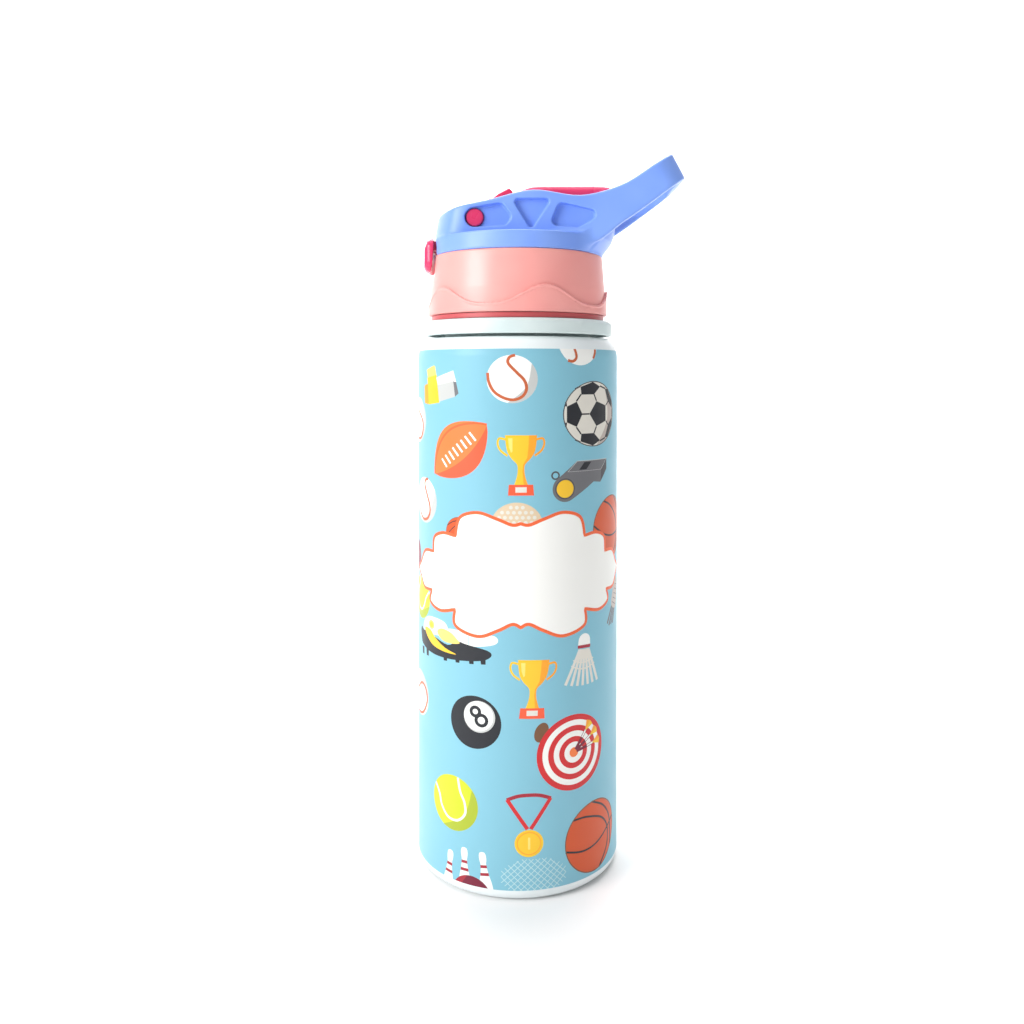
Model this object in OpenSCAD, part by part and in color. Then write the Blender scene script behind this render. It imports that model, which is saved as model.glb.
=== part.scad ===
// A child's drinking bottle: a printed aluminium bottle with a screw-on, flip-top straw lid.
// Millimetres, +Z up. The origin is the centre of the bottle's base. The release button
// faces -X, the carrying handle points to +X, and the printed plaque faces -Y.

/* [Bottle] */
// Outer radius of the bottle
body_r = 36.5; // [36:0.25:37.5]
// Height at which the shoulder starts to curve in
shoulder_z = 182; // [120:1:240]
// Thickness of the aluminium wall
wall = 0.8; // [0.6:0.1:1.0]
// Radius of the rounded corner at the base
base_corner_r = 4; // [3:0.5:5]
// Radius of the shoulder curve
shoulder_r = 9; // [9:0.25:9.5]
// Inner radius of the drinking mouth
mouth_r = 24.2; // [24:0.1:24.2]

/* [Screw thread] */
// Rise of the thread in one turn
pitch = 4; // [3.6:0.1:4.4]
// Turns needed to take the lid off
thread_turns = 1.5; // [1:0.25:1.5]
// Radius of the threaded neck between its ridges
neck_r = 26.6; // [26.5:0.05:26.7]
// Height of a thread ridge
ridge_h = 1.2; // [1:0.05:1.25]
// Gap between the two threads across the radius
thread_gap = 0.3; // [0.25:0.05:0.35]

/* [Neck collar] */
// Outer radius of the collar ring
collar_r = 34.4; // [34:0.1:35]
// Height of the collar ring
collar_h = 5.2; // [4.5:0.1:5.2]

/* [Lid base] */
// Outer radius at the foot of the lid base
base_r = 32; // [31.9:0.05:32.3]
// Outer radius at the top of the lid base
base_top_r = 30.9; // [30.8:0.05:31]
// How far the wavy skirt stands proud
skirt_proud = 0.7; // [0.4:0.1:1]
// Number of waves around the skirt
waves = 5; // [3:1:8]

/* [Top frame] */
// Outer radius of the frame's round skirt
frame_r = 30.7; // [30.6:0.05:30.8]
// Distance from the centre to each flat side
flat_y = 20; // [19.8:0.1:20.2]
// Thickness of the flat side walls and of the handle
side_wall = 3.4; // [3.2:0.1:3.5]
// Depth of the three windows in each side
window_depth = 1.9; // [1:0.1:2]

/* [Button and cover] */
// Angle through which the button rocks when it is pressed
press_deg = 5; // [3:0.5:5]
// Radius of the button's pivot pins
pivot_r = 3.1; // [2.9:0.05:3.15]
// Radius of the steel hinge pin of the cover
hinge_pin_r = 1; // [0.8:0.05:1]
// Half width of the flip cover
cover_y = 16.2; // [15.8:0.1:16.2]

/* [Drinking parts] */
// Distance of the straw from the bottle's axis
straw_x = 11; // [10:0.5:11]
// Outer radius of the straw
straw_r = 3.5; // [3.2:0.05:3.5]
// Length of the soft tip beyond its bend
tip_l = 15; // [13:0.5:15.5]
// Angle of the folded tip above the horizontal
tip_rest_deg = 10; // [5:1:12]

/* [Hidden] */
$fn = 96;
eps = 0.01;
// The lid is drawn from the underside of the collar ring, which is at this height
lid_z = shoulder_z + 8;

// Heights in the lid, above lid_z
neck_top = 19.5;                 // top of the rolled aluminium lip
liner_lip = [5.5, 7.1];          // lower lip of the inner cap
seal_z = [19.6, 21.2];           // flat gasket
plate_z = [21.3, 23.3];          // top plate of the inner cap
skirt_z = 7.3;                   // foot of the lid base
base_top = 28.8;                 // top of the lid base, and foot of the frame
deck_z = [25.2, 27.2];           // drinking deck
ledge_z = 35;                    // step from the round skirt to the flat sides
pad_z = [23.1, 35.2];            // button pad
pad_y = 9;                       // half width of the button pad
pivot = [-15, 40.8];             // axis of the button, as X and height
hinge = [30, 48];                // axis of the cover, as X and height
bend_z = 40;                     // height of the mouthpiece's bend
liner_r = neck_r + ridge_h + thread_gap;   // inner radius of the threaded cap
liner_outer_r = liner_r + 1.3;
spigot_r = [3, 2.3];             // outer and inner radius of the mouthpiece's spigot
spigot_top = 32;
vent_x = -12;
gap = 0.05;                      // fit between pieces that are pushed together
inner_y = flat_y - side_wall;    // inner face of the flat sides

aluminium = "#f2f6f6";
collar_white = "#d4e3e2";
coral = "#f59a92";
periwinkle = "#82a5f5";
magenta = "#eb3c6e";
silicone = "#f4f4f0";
steel = "#c8ccd0";

// ---- Functions for outlines ----

function unit(v) = v / norm(v);
function turn2(p, a) = [p[0] * cos(a) - p[1] * sin(a), p[0] * sin(a) + p[1] * cos(a)];

// Points of a circular arc
function arc(c, r, a0, a1, n = 8) =
    [for (i = [0:n]) let (a = a0 + (a1 - a0) * i / n) c + r * [cos(a), sin(a)]];

// Points of the fillet of radius r at corner b of the outline a, b, c
function fillet(a, b, c, r, n = 5) =
    let (u = unit(a - b), v = unit(c - b), half = acos(u * v) / 2,
         m = b + unit(u + v) * r / sin(half),
         p = b + u * r / tan(half) - m,
         side = (u[0] * v[1] - u[1] * v[0]) > 0 ? -1 : 1,
         sweep = side * (180 - 2 * half))
    [for (i = [0:n]) m + turn2(p, sweep * i / n)];

// A polygon with every corner rounded
function rounded(pts, r, n = 5) =
    let (k = len(pts))
    [for (i = [0:k - 1]) each fillet(pts[(i + k - 1) % k], pts[i], pts[(i + 1) % k], r, n)];

// A smooth curve through a list of points
function spline_at(a, b, c, d, t) =
    0.5 * (2 * b + (c - a) * t + (2 * a - 5 * b + 4 * c - d) * t * t
           + (3 * b - a - 3 * c + d) * t * t * t);
function spline(pts, n = 5) =
    let (k = len(pts))
    [for (i = [0:k - 2], j = [0:n - 1])
        spline_at(pts[max(i - 1, 0)], pts[i], pts[i + 1], pts[min(i + 2, k - 1)], j / n),
     pts[k - 1]];

// ---- Helpers for solids ----

module at_lid() { translate([0, 0, lid_z]) children(); }

// Extrudes an outline drawn as X and height along Y, from y0 to y1
module along_y(y0, y1) {
    translate([0, y1, 0]) rotate([90, 0, 0]) linear_extrude(y1 - y0) children();
}

// The same on both sides of the lid
module both_sides() {
    children();
    mirror([0, 1, 0]) children();
}

// A round bar along Y through a point given as X and height
module rod_y(at, r, y0, y1) {
    translate([at[0], y1, at[1]]) rotate([90, 0, 0]) cylinder(h = y1 - y0, r = r);
}

module tube(r_out, r_in, h) {
    difference() {
        cylinder(h = h, r = r_out);
        translate([0, 0, -eps]) cylinder(h = h + 2 * eps, r = r_in);
    }
}

// Side faces and end caps of a solid made of rings of four or more points
function ring_faces(rings, k, flip = false) =
    let (quads = [for (i = [0:rings - 2], j = [0:k - 1])
            [i * k + j, i * k + (j + 1) % k, (i + 1) * k + (j + 1) % k, (i + 1) * k + j]],
         caps = [[for (j = [k - 1:-1:0]) j], [for (j = [0:k - 1]) (rings - 1) * k + j]],
         all = concat(quads, caps))
    flip ? [for (f = all) [for (i = [len(f) - 1:-1:0]) f[i]]] : all;

// A thread ridge that climbs counterclockwise. It starts inside the wall at r_root, stands
// out to r_crest, and fades away at both ends.
module thread_ridge(r_root, r_crest, z0) {
    steps = 36 * thread_turns;
    root_w = 1.8;
    crest_w = 0.9;
    fade = 4;
    ring = [for (i = [0:steps])
        let (a = 360 * thread_turns * i / steps, z = z0 + pitch * a / 360,
             rise = min(1, (i + 0.4) / fade, (steps - i + 0.4) / fade),
             r = r_root + (r_crest - r_root) * (0.35 + 0.65 * rise))
        each [for (q = [[r_root, -root_w / 2], [r, -crest_w / 2], [r, crest_w / 2],
                        [r_root, root_w / 2]])
            [q[0] * cos(a), q[0] * sin(a), z + q[1]]]];
    polyhedron(ring, ring_faces(steps + 1, 4, r_crest < r_root), convexity = 6);
}

// A coil spring of round wire about +Z, from z = 0 to z = h
module coil(r, wire_r, h, turns) {
    sides = 6;
    steps = 14 * turns;
    rise = h - 2 * wire_r;
    ring = [for (i = [0:steps])
        let (a = 360 * turns * i / steps)
        each [for (j = [0:sides - 1])
            let (b = 360 * j / sides, q = r + wire_r * cos(b))
            [q * cos(a), q * sin(a), wire_r + rise * i / steps + wire_r * sin(b)]]];
    polyhedron(ring, ring_faces(steps + 1, sides), convexity = 8);
}

// ---- Bottle ----

// The wall's outline from the middle of the base to the rolled lip, drawn t inside the skin
function shell_outline(t) =
    let (foot_r = body_r - base_corner_r, dome = 3,
         mouth_outer = mouth_r + wall,
         shoulder_a = acos((body_r - 3.3 - (body_r - shoulder_r)) / shoulder_r))
    concat([[0, dome + t], [foot_r - 8.5, dome + t], [foot_r - 5.5, t], [foot_r, t]],
           arc([foot_r, base_corner_r], base_corner_r - t, -90, 0),
           arc([body_r - shoulder_r, shoulder_z], shoulder_r - t, 0, shoulder_a),
           [[mouth_outer - t, lid_z - 0.8 - t]]);

module bottle_shell() {
    lip_r = mouth_r + wall + 1.4;
    outer = shell_outline(0);
    inner = shell_outline(wall);
    color(aluminium) rotate_extrude() polygon(concat(
        outer,
        [[mouth_r + wall, lid_z + neck_top - 0.9], [lip_r, lid_z + neck_top - 0.9]],
        arc([lip_r - 0.8, lid_z + neck_top - 0.8], 0.8, 0, 90, 4),
        arc([mouth_r + 0.8, lid_z + neck_top - 0.8], 0.8, 90, 180, 4),
        [for (i = [len(inner) - 1:-1:0]) inner[i]]));
}

// The plastic collar: a threaded tube round the aluminium neck, with a hollow ring at its foot
module neck_collar() {
    tube_in = mouth_r + wall + gap;
    chamfer = 1;
    web = 1.8;
    color(collar_white) at_lid() {
        rotate_extrude() polygon([
            [tube_in, -0.75], [neck_r, -0.75], [neck_r, collar_h - web],
            [collar_r - 2, collar_h - web], [collar_r - 2, 0], [collar_r - 0.3, 0],
            [collar_r, 0.3], [collar_r, collar_h - chamfer], [collar_r - chamfer, collar_h],
            [neck_r, collar_h], [neck_r, neck_top - 1.4], [neck_r - 0.4, neck_top - 1],
            [tube_in, neck_top - 1]]);
        thread_ridge(neck_r - 0.25, neck_r + ridge_h, 9.5);
    }
}

// ---- Lid ----

module lid_gasket() {
    color(silicone) at_lid() translate([0, 0, seal_z[0]])
        tube(liner_r - 0.1, mouth_r - 0.2, seal_z[1] - seal_z[0]);
}

// The threaded inner cap, which holds the straw below and the mouthpiece above
module thread_liner() {
    socket_r = straw_r + 1.3;
    socket_z = 12;
    color(coral) at_lid() difference() {
        union() {
            rotate_extrude() polygon([
                [liner_r, liner_lip[0]], [31.5, liner_lip[0]], [31.5, liner_lip[1]],
                [liner_outer_r, liner_lip[1]], [liner_outer_r, plate_z[1]], [0, plate_z[1]],
                [0, plate_z[0]], [liner_r, plate_z[0]]]);
            thread_ridge(liner_r + 0.25, liner_r - ridge_h, 9.5 + pitch / 2);
            translate([straw_x, 0, socket_z])
                cylinder(h = plate_z[0] - socket_z + eps, r = socket_r);
            translate([straw_x, 0, plate_z[1] - eps])
                cylinder(h = spigot_top - plate_z[1] + eps, r = spigot_r[0]);
        }
        translate([straw_x, 0, socket_z - 1])
            cylinder(h = plate_z[0] - socket_z + 1, r = straw_r + gap);
        translate([straw_x, 0, socket_z]) cylinder(h = 30, r = spigot_r[1]);
        translate([vent_x, 0, plate_z[0] - 1]) cylinder(h = 4, r = 1.6);
    }
}

// Height of the skirt's wavy edge at angle a, with broad valleys and round crests
function wave_z(a) =
    let (low = 9.4, high = 15.7, crest_a = -72.4)
    low + (high - low) * pow((1 + cos(waves * (a - crest_a))) / 2, 1.5);

module wavy_skirt() {
    steps = 120;
    r_in = base_r - 0.8;
    r_out = base_r + skirt_proud;
    pts = [for (i = [0:steps - 1])
        let (a = 360 * i / steps, top = wave_z(a))
        each [for (q = [[r_in, skirt_z], [r_out, skirt_z], [r_out, top - 0.3],
                        [r_out - 0.3, top], [r_in, top]])
            [q[0] * cos(a), q[0] * sin(a), q[1]]]];
    polyhedron(pts, [for (i = [0:steps - 1], j = [0:4])
        [i * 5 + j, i * 5 + (j + 1) % 5, ((i + 1) % steps) * 5 + (j + 1) % 5,
         ((i + 1) % steps) * 5 + j]], convexity = 8);
}

// Outline of the button and, with a larger margin, of the space it moves in, as Y and height
module pad_outline(margin, z0, z1) {
    w = pad_y + margin;
    polygon(rounded([[-w, z0], [w, z0], [w, z1], [-w, z1]], 3.5 + margin));
}

// Extrudes an outline drawn as Y and height along X
module along_x(x0, x1) {
    translate([x0, 0, 0]) rotate([90, 0, 90]) linear_extrude(x1 - x0) children();
}

module lid_base() {
    inner_r = liner_outer_r + 0.2;
    rim_r = 28.7;
    pocket_r = 30.2;
    pocket_foot = 19.5;
    color(coral) at_lid() difference() {
        union() {
            rotate_extrude() polygon([
                [inner_r, skirt_z], [base_r, skirt_z], [base_r - 0.1, 16],
                [base_top_r, base_top], [rim_r, base_top], [rim_r, deck_z[1]],
                [0, deck_z[1]], [0, deck_z[0]], [inner_r, deck_z[0]]]);
            wavy_skirt();
        }
        // Pocket for the button
        difference() {
            along_x(-40, -20) pad_outline(0.8, pocket_foot, base_top + 12);
            cylinder(h = 60, r = pocket_r);
        }
        translate([straw_x, 0, deck_z[0] - 1]) cylinder(h = 4, r = 5.4);
        translate([vent_x, 0, deck_z[0] - 1]) cylinder(h = 4, r = 1.2);
    }
}

// Side view of the frame and its handle, as X and height. The upper edge rises to a crest over
// the windows, dips, and climbs along the handle.
handle_tip = [[54.8, 64.4], [59.5, 55.6]];
upper_edge = [[-25.3, 43.9], [-10.4, 46.9], [5.2, 50.4], [21.9, 48.5], [36.1, 52.2],
              [46.8, 58.8], handle_tip[0]];
lower_edge = [handle_tip[1], [43.5, 43.8], [36.3, 38.8], [29.2, 33.3], [22.1, 30.4]];

module side_view() {
    front = fillet([-31, ledge_z], [-29.8, 43], upper_edge[1], 4);
    polygon(concat([[-31, ledge_z - 1.6]], front, spline(upper_edge), spline(lower_edge),
                   [[16, ledge_z - 1.6]]));
}

// The handle's ribbon seen square on, closed by a blunt rounded end at x = 0
module ribbon_outline(y, end_x, corner) {
    polygon(concat([[-45, -y]], fillet([-45, -y], [end_x, -y], [end_x, y], corner, 8),
                   fillet([end_x, -y], [end_x, y], [-45, y], corner, 8), [[-45, y]]));
}

module handle_loop() {
    across = handle_tip[0] - handle_tip[1];
    tilt = atan2(-across[0], across[1]);
    middle = (handle_tip[0] + handle_tip[1]) / 2;
    corner = 10;
    intersection() {
        along_y(-flat_y, flat_y) side_view();
        translate([middle[0], 0, middle[1]]) rotate([0, -tilt, 0])
            translate([0, 0, -30]) linear_extrude(60) difference() {
                ribbon_outline(flat_y, 0.4, corner);
                ribbon_outline(inner_y, 0.4 - side_wall, corner - side_wall);
            }
        translate([34, -50, 0]) cube([60, 100, 90]);
    }
}

// The front wall leans in above the ledge
module front_cone(t) {
    rise = 18;
    lean = 0.173;
    translate([0, 0, ledge_z - 1.6 - eps])
        cylinder(h = rise, r1 = frame_r - t, r2 = frame_r - t - lean * rise);
}

module frame_walls() {
    front_wall = 2.2;
    roof = 1.8;
    roof_end = -11.5;
    // Flat sides
    both_sides() intersection() {
        along_y(inner_y, flat_y) side_view();
        union() {
            front_cone(0);
            translate([0, 0, 25]) cube([46, 30, 60]);
        }
    }
    // Front wall and the roof behind it
    intersection() {
        along_y(-flat_y, flat_y) side_view();
        difference() {
            front_cone(0);
            intersection() {
                front_cone(front_wall);
                translate([0, 0, -roof]) along_y(-flat_y, flat_y) side_view();
            }
            translate([roof_end, -inner_y, 20]) cube([60, 2 * inner_y, 60]);
        }
        translate([-40, -flat_y, 20]) cube([30, 2 * flat_y, 60]);
    }
}

// Outlines of the three windows, as X and height
module window_outlines() {
    polygon(concat(arc([-15, 40.8], 3.4, 100, 266, 10),
                   rounded_tail([[-4, 38], [-1.8, 41], [-5.6, 45.8]], [-16, 37.4], [-15.6, 44.2])));
    polygon(rounded([[-2, 47.2], [4.7, 36.2], [11.9, 47.2]], 1));
    polygon(rounded([[14.4, 46], [11, 38], [21.3, 37.2], [28.6, 41.4], [26, 43.4]], 1.4));
}
// The free corners of the front window, rounded between its two straight edges
function rounded_tail(pts, from, to) =
    concat(fillet(from, pts[0], pts[1], 1.6), fillet(pts[0], pts[1], pts[2], 1.6),
           fillet(pts[1], pts[2], to, 1.6));

module rear_housing() {
    t = 2.2;
    intersection() {
        rotate_extrude() polygon([
            [frame_r - t, base_top], [frame_r, base_top], [31, 29.7], [34.2, 33.9],
            [35.3, 37.3], [35.3, 41], [35.3 - t, 41], [35.3 - t, 37.7], [34.2 - t, 35],
            [frame_r - t, 30.8]]);
        translate([5, -inner_y - 1, 20]) cube([40, 2 * inner_y + 2, 30]);
    }
}

module top_frame() {
    ring_in = frame_r - 2.2;
    stop_z = 40.8;
    color(periwinkle) at_lid() difference() {
        union() {
            difference() {
                rotate_extrude() polygon([
                    [ring_in, base_top], [frame_r, base_top], [frame_r, ledge_z - 0.6],
                    [frame_r - 0.6, ledge_z], [ring_in - 0.6, ledge_z],
                    [ring_in, ledge_z - 0.6]]);
                translate([20, -inner_y, 30]) cube([20, 2 * inner_y, 10]);
            }
            // Ledge that joins the round skirt to the flat sides
            both_sides() intersection() {
                translate([0, 0, ledge_z - 1.6]) cylinder(h = 1.6, r = frame_r - 0.6);
                translate([-40, inner_y, 0]) cube([80, 30, 60]);
            }
            frame_walls();
            handle_loop();
            rear_housing();
            // Ribs that the closed cover rests on
            both_sides() translate([3, inner_y - 1.2, stop_z])
                cube([20, 1.2 + eps, 2]);
        }
        both_sides() along_y(flat_y - window_depth, flat_y + 5) window_outlines();
        both_sides() rod_y(pivot, pivot_r + 0.06, 10, flat_y + 5);
        both_sides() rod_y(hinge, hinge_pin_r + gap, 10, inner_y + 1.9);
        along_x(-40, -24) pad_outline(0.5, 20, pad_z[1] + 0.6);
    }
}

// ---- Latch ----

// Side view of one arm of the rocker, as X and height
module rocker_arm() {
    polygon([[-22.5, 31], [-19.5, 31], [-12.5, 38.2], [-7, 43], [-7, 48], [-10.2, 48],
             [-10.9, 43.7], [-18.2, 42.6], [-22.5, 35]]);
}

// Pad, two arms on the pivot pins, and the hook that holds the cover's front lip
module release_button() {
    arm_y = [13, inner_y - 1];
    pad_r = [32.3, 34.4];
    hook_y = 8;
    color(magenta) at_lid() {
        intersection() {
            along_x(-40, -20) pad_outline(0, pad_z[0], pad_z[1]);
            tube(pad_r[1], pad_r[0], 60);
        }
        translate([-33, -6, 31]) cube([12, 12, 3.4]);
        translate([-22.5, -arm_y[1], 31]) cube([3, 2 * arm_y[1], 3.4]);
        translate([-10.2, -arm_y[1], 45]) cube([3.2, 2 * arm_y[1], 3]);
        both_sides() {
            along_y(arm_y[0], arm_y[1]) rocker_arm();
            rod_y(pivot, pivot_r, arm_y[0], flat_y - 0.9);
        }
        along_y(-hook_y, hook_y)
            polygon([[-10.2, 45], [-7, 45], [-5.2, 49.6], [-1.8, 49.9], [-1.8, 52],
                     [-3.1, 53.2], [-7, 51.2], [-10.2, 48.5]]);
    }
}

module button_spring() {
    color(steel) at_lid() translate([-25.5, 0, deck_z[1] + gap])
        coil(2.2, 0.35, 31 - deck_z[1] - 2 * gap, 3);
}

// ---- Cover ----

// Side view of the cover, as X and height
module cover_side() {
    polygon([[-1.4, 47.2], [-1.4, 49], [0.4, 50.4], [5.2, 52.3], [9.7, 52.8], [28, 52.8],
             [32.1, 52], [33.2, 50.4], [33.2, 48], [27, 45.4], [25, 43], [1, 43], [0.6, 47.2]]);
}

module flip_cover() {
    skin = 1.7;
    barrel_r = 2.6;
    spring_y = 4.2;
    corner = 3;
    top_z = 52.8;
    color(magenta) at_lid() difference() {
        union() {
            difference() {
                intersection() {
                    along_y(-cover_y, cover_y) cover_side();
                    along_x(-5, 40) polygon(concat(
                        [[-cover_y, 40]], fillet([-cover_y, 40], [-cover_y, top_z],
                                                 [cover_y, top_z], corner),
                        fillet([-cover_y, top_z], [cover_y, top_z], [cover_y, 40], corner),
                        [[cover_y, 40]]));
                }
                // Hollow for the folded mouthpiece
                along_y(skin - cover_y, cover_y - skin)
                    polygon([[0.4, 40], [0.4, 49], [5.6, 50.6], [9.7, 51.1], [26, 51.1],
                             [26, 40]]);
            }
            rod_y(hinge, barrel_r, -cover_y, cover_y);
        }
        rod_y(hinge, hinge_pin_r + 0.08, -cover_y - 1, cover_y + 1);
        rod_y(hinge, 3.2, -spring_y, spring_y);
        translate([25.9, -spring_y, 40]) cube([10, 2 * spring_y, 8]);
    }
}

module cover_hinge_pin() {
    color(steel) at_lid() rod_y(hinge, hinge_pin_r, -inner_y - 1.8, inner_y + 1.8);
}

module cover_spring() {
    half = 3.4;
    color(steel) at_lid() translate([hinge[0], half, hinge[1]]) rotate([90, 0, 0])
        coil(2, 0.4, 2 * half, 7);
}

// ---- Drinking parts ----

module mouthpiece_base() {
    top = bend_z - 4.7;
    color(silicone) at_lid() translate([straw_x, 0, 0]) difference() {
        rotate_extrude() polygon([
            [0, plate_z[1] + gap], [8, plate_z[1] + gap], [8, deck_z[0] - 0.1],
            [5, deck_z[0] - 0.1], [5, 32.6], [4.4, top], [0, top]]);
        translate([0, 0, 20]) cylinder(h = 30, r = spigot_r[1] - 0.1);
        translate([0, 0, 20]) cylinder(h = spigot_top + 0.1 - 20, r = spigot_r[0] + gap);
    }
}

// The soft tip, folded forward under the closed cover
module mouthpiece_tip() {
    neck = 4.2;
    bite = [3.1, 2.9];
    color(silicone) at_lid() translate([straw_x, 0, bend_z])
        rotate([0, tip_rest_deg - 90, 0]) difference() {
            union() {
                sphere(r = neck);
                cylinder(h = 9, r = neck);
                hull() {
                    translate([0, 0, 8]) cylinder(h = 0.5, r = neck, $fn = 32);
                    for (y = [-1, 1]) translate([0, y * bite[1], tip_l - 1.5])
                        cylinder(h = 1.5, r = bite[0], $fn = 32);
                }
            }
            translate([0, 0, -6]) cylinder(h = 30, r = 1.9);
        }
}

module vent_valve() {
    color(silicone) at_lid() translate([vent_x, 0, 0]) rotate_extrude() polygon([
        [0, 20], [2.6, 20.4], [3.4, 21.2], [1.5, 21.2], [1.5, plate_z[1] + gap],
        [2.4, plate_z[1] + gap], [2, 24.4], [0, 24.6]]);
}

module straw() {
    foot_z = 7;
    top_z = lid_z + plate_z[0] - 0.4;
    color("white", 0.6) difference() {
        translate([straw_x, 0, foot_z]) tube(straw_r, straw_r - 0.8, top_z - foot_z);
        // Slanted foot, so that the straw can't seal against the base
        translate([straw_x - 6, -6, foot_z - 5]) rotate([0, -40, 0])
            translate([-6, 0, -6]) cube([16, 12, 6]);
    }
}

bottle_shell();
neck_collar();
lid_gasket();
thread_liner();
lid_base();
top_frame();
release_button();
button_spring();
flip_cover();
cover_hinge_pin();
cover_spring();
mouthpiece_base();
mouthpiece_tip();
vent_valve();
straw();
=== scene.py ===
# A child's printed aluminium bottle with a flip-top straw lid: its surfaces and materials.
# Shapes are drawn in millimetres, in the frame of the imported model, and made in metres.
import math
import bpy
import numpy as np
from mathutils import Matrix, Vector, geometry


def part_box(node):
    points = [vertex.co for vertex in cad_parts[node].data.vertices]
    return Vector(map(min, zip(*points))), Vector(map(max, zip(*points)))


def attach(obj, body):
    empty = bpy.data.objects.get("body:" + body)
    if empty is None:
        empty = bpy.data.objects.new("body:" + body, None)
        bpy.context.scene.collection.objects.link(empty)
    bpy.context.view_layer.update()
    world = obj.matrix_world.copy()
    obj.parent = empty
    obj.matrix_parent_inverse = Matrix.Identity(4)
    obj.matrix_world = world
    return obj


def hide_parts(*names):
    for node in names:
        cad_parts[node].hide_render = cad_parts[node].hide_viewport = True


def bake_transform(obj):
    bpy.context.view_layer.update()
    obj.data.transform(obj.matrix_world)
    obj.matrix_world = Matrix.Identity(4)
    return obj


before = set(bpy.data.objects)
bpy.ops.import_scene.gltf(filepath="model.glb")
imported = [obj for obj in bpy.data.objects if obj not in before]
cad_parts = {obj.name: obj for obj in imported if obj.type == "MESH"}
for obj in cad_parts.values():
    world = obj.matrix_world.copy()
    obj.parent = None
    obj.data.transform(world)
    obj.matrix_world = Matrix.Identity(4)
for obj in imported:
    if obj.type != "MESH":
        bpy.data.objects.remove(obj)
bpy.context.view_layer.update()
MM = 0.001


def node_top(node):
    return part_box(node)[1] / MM


# ---- Sizes that the pieces share: some worked out from the imported model, the rest given ----
body_r = node_top("bottle_shell").x
neck_top = 19.5
lid_z = node_top("bottle_shell").z - neck_top
shoulder_z = lid_z - 8
collar_r = node_top("neck_collar").x
straw_x = (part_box("straw")[0].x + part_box("straw")[1].x) / 2 / MM
flat_y = node_top("release_button").y + 0.9
side_wall = 3.4
inner_y = flat_y - side_wall
frame_r = 30.7
ledge_z = 35
pivot = (-15, 40.8)
hinge = (30, 48)
bend_z = 40
deck_z = (25.2, 27.2)
base_top = 28.8


# ---- Outlines ----

def arc(centre, radius, start, end, count=8):
    """Points of a circular arc, with its angles in degrees."""
    turn = np.radians(np.linspace(start, end, count + 1))
    return [(centre[0] + radius * math.cos(a), centre[1] + radius * math.sin(a)) for a in turn]


def ellipse(centre, half_w, half_h, turn=0, count=48):
    """A closed ellipse, turned by an angle in degrees."""
    c, s = math.cos(math.radians(turn)), math.sin(math.radians(turn))
    points = []
    for a in np.arange(count) * 2 * math.pi / count:
        x, y = half_w * math.cos(a), half_h * math.sin(a)
        points.append((centre[0] + x * c - y * s, centre[1] + x * s + y * c))
    return points


def fillet(a, b, c, radius, count=6):
    """Points of the fillet at corner b of the outline a, b, c."""
    a, b, c = (np.array(p, float) for p in (a, b, c))
    u, v = (a - b) / np.linalg.norm(a - b), (c - b) / np.linalg.norm(c - b)
    half = math.acos(np.clip(u @ v, -1, 1)) / 2
    centre = b + (u + v) / np.linalg.norm(u + v) * radius / math.sin(half)
    first, last = (b + w * radius / math.tan(half) - centre for w in (u, v))
    start = math.atan2(first[1], first[0])
    sweep = (math.atan2(last[1], last[0]) - start + math.pi) % (2 * math.pi) - math.pi
    turn = [start + sweep * i / count for i in range(count + 1)]
    return [(centre[0] + radius * math.cos(t), centre[1] + radius * math.sin(t)) for t in turn]


def rounded(points, radius, count=6):
    """A polygon with every corner rounded."""
    n = len(points)
    return [p for i in range(n)
            for p in fillet(points[i - 1], points[i], points[(i + 1) % n], radius, count)]


def spline(points, count=6, closed=False):
    """A smooth curve through a list of points."""
    points = [np.array(p, float) for p in points]
    n = len(points)
    out = []
    for i in range(n if closed else n - 1):
        if closed:
            a, b, c, d = points[i - 1], points[i], points[(i + 1) % n], points[(i + 2) % n]
        else:
            a, b, c, d = points[max(i - 1, 0)], points[i], points[i + 1], points[min(i + 2, n - 1)]
        for t in np.arange(count) / count:
            out.append(0.5 * (2 * b + (c - a) * t + (2 * a - 5 * b + 4 * c - d) * t * t
                              + (3 * b - a - 3 * c + d) * t ** 3))
    return [tuple(p) for p in out] + ([] if closed else [tuple(points[-1])])


# ---- Materials ----

def srgb(red, green, blue):
    """A colour picked on a 0 to 255 scale, in linear light."""
    share = [v / 255 for v in (red, green, blue)]
    return tuple(v / 12.92 if v <= 0.04045 else ((v + 0.055) / 1.055) ** 2.4 for v in share) + (1,)


def put(node, values):
    """Sets a node's inputs by name."""
    for name, value in values.items():
        node.inputs[name].default_value = value


def node_material(name, colour, roughness, specular=0.5):
    mat = bpy.data.materials.new(name)
    mat.use_nodes = True
    shader = mat.node_tree.nodes["Principled BSDF"]
    put(shader, {"Base Color": srgb(*colour), "Roughness": roughness, "Specular IOR Level": specular})
    mat.diffuse_color = srgb(*colour)
    return mat, shader


def noise(mat, scale, detail=3, roughness=0.55, stretch=None):
    """A noise texture in the piece's own coordinates, with scale in features per metre."""
    nodes, links = mat.node_tree.nodes, mat.node_tree.links
    coords = nodes.new("ShaderNodeTexCoord")
    texture = nodes.new("ShaderNodeTexNoise")
    put(texture, {"Scale": scale, "Detail": detail, "Roughness": roughness})
    source = coords.outputs["Object"]
    if stretch:
        mapping = nodes.new("ShaderNodeMapping")
        put(mapping, {"Scale": stretch})
        links.new(source, mapping.inputs["Vector"])
        source = mapping.outputs["Vector"]
    links.new(source, texture.inputs["Vector"])
    return texture.outputs["Fac"]


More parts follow.
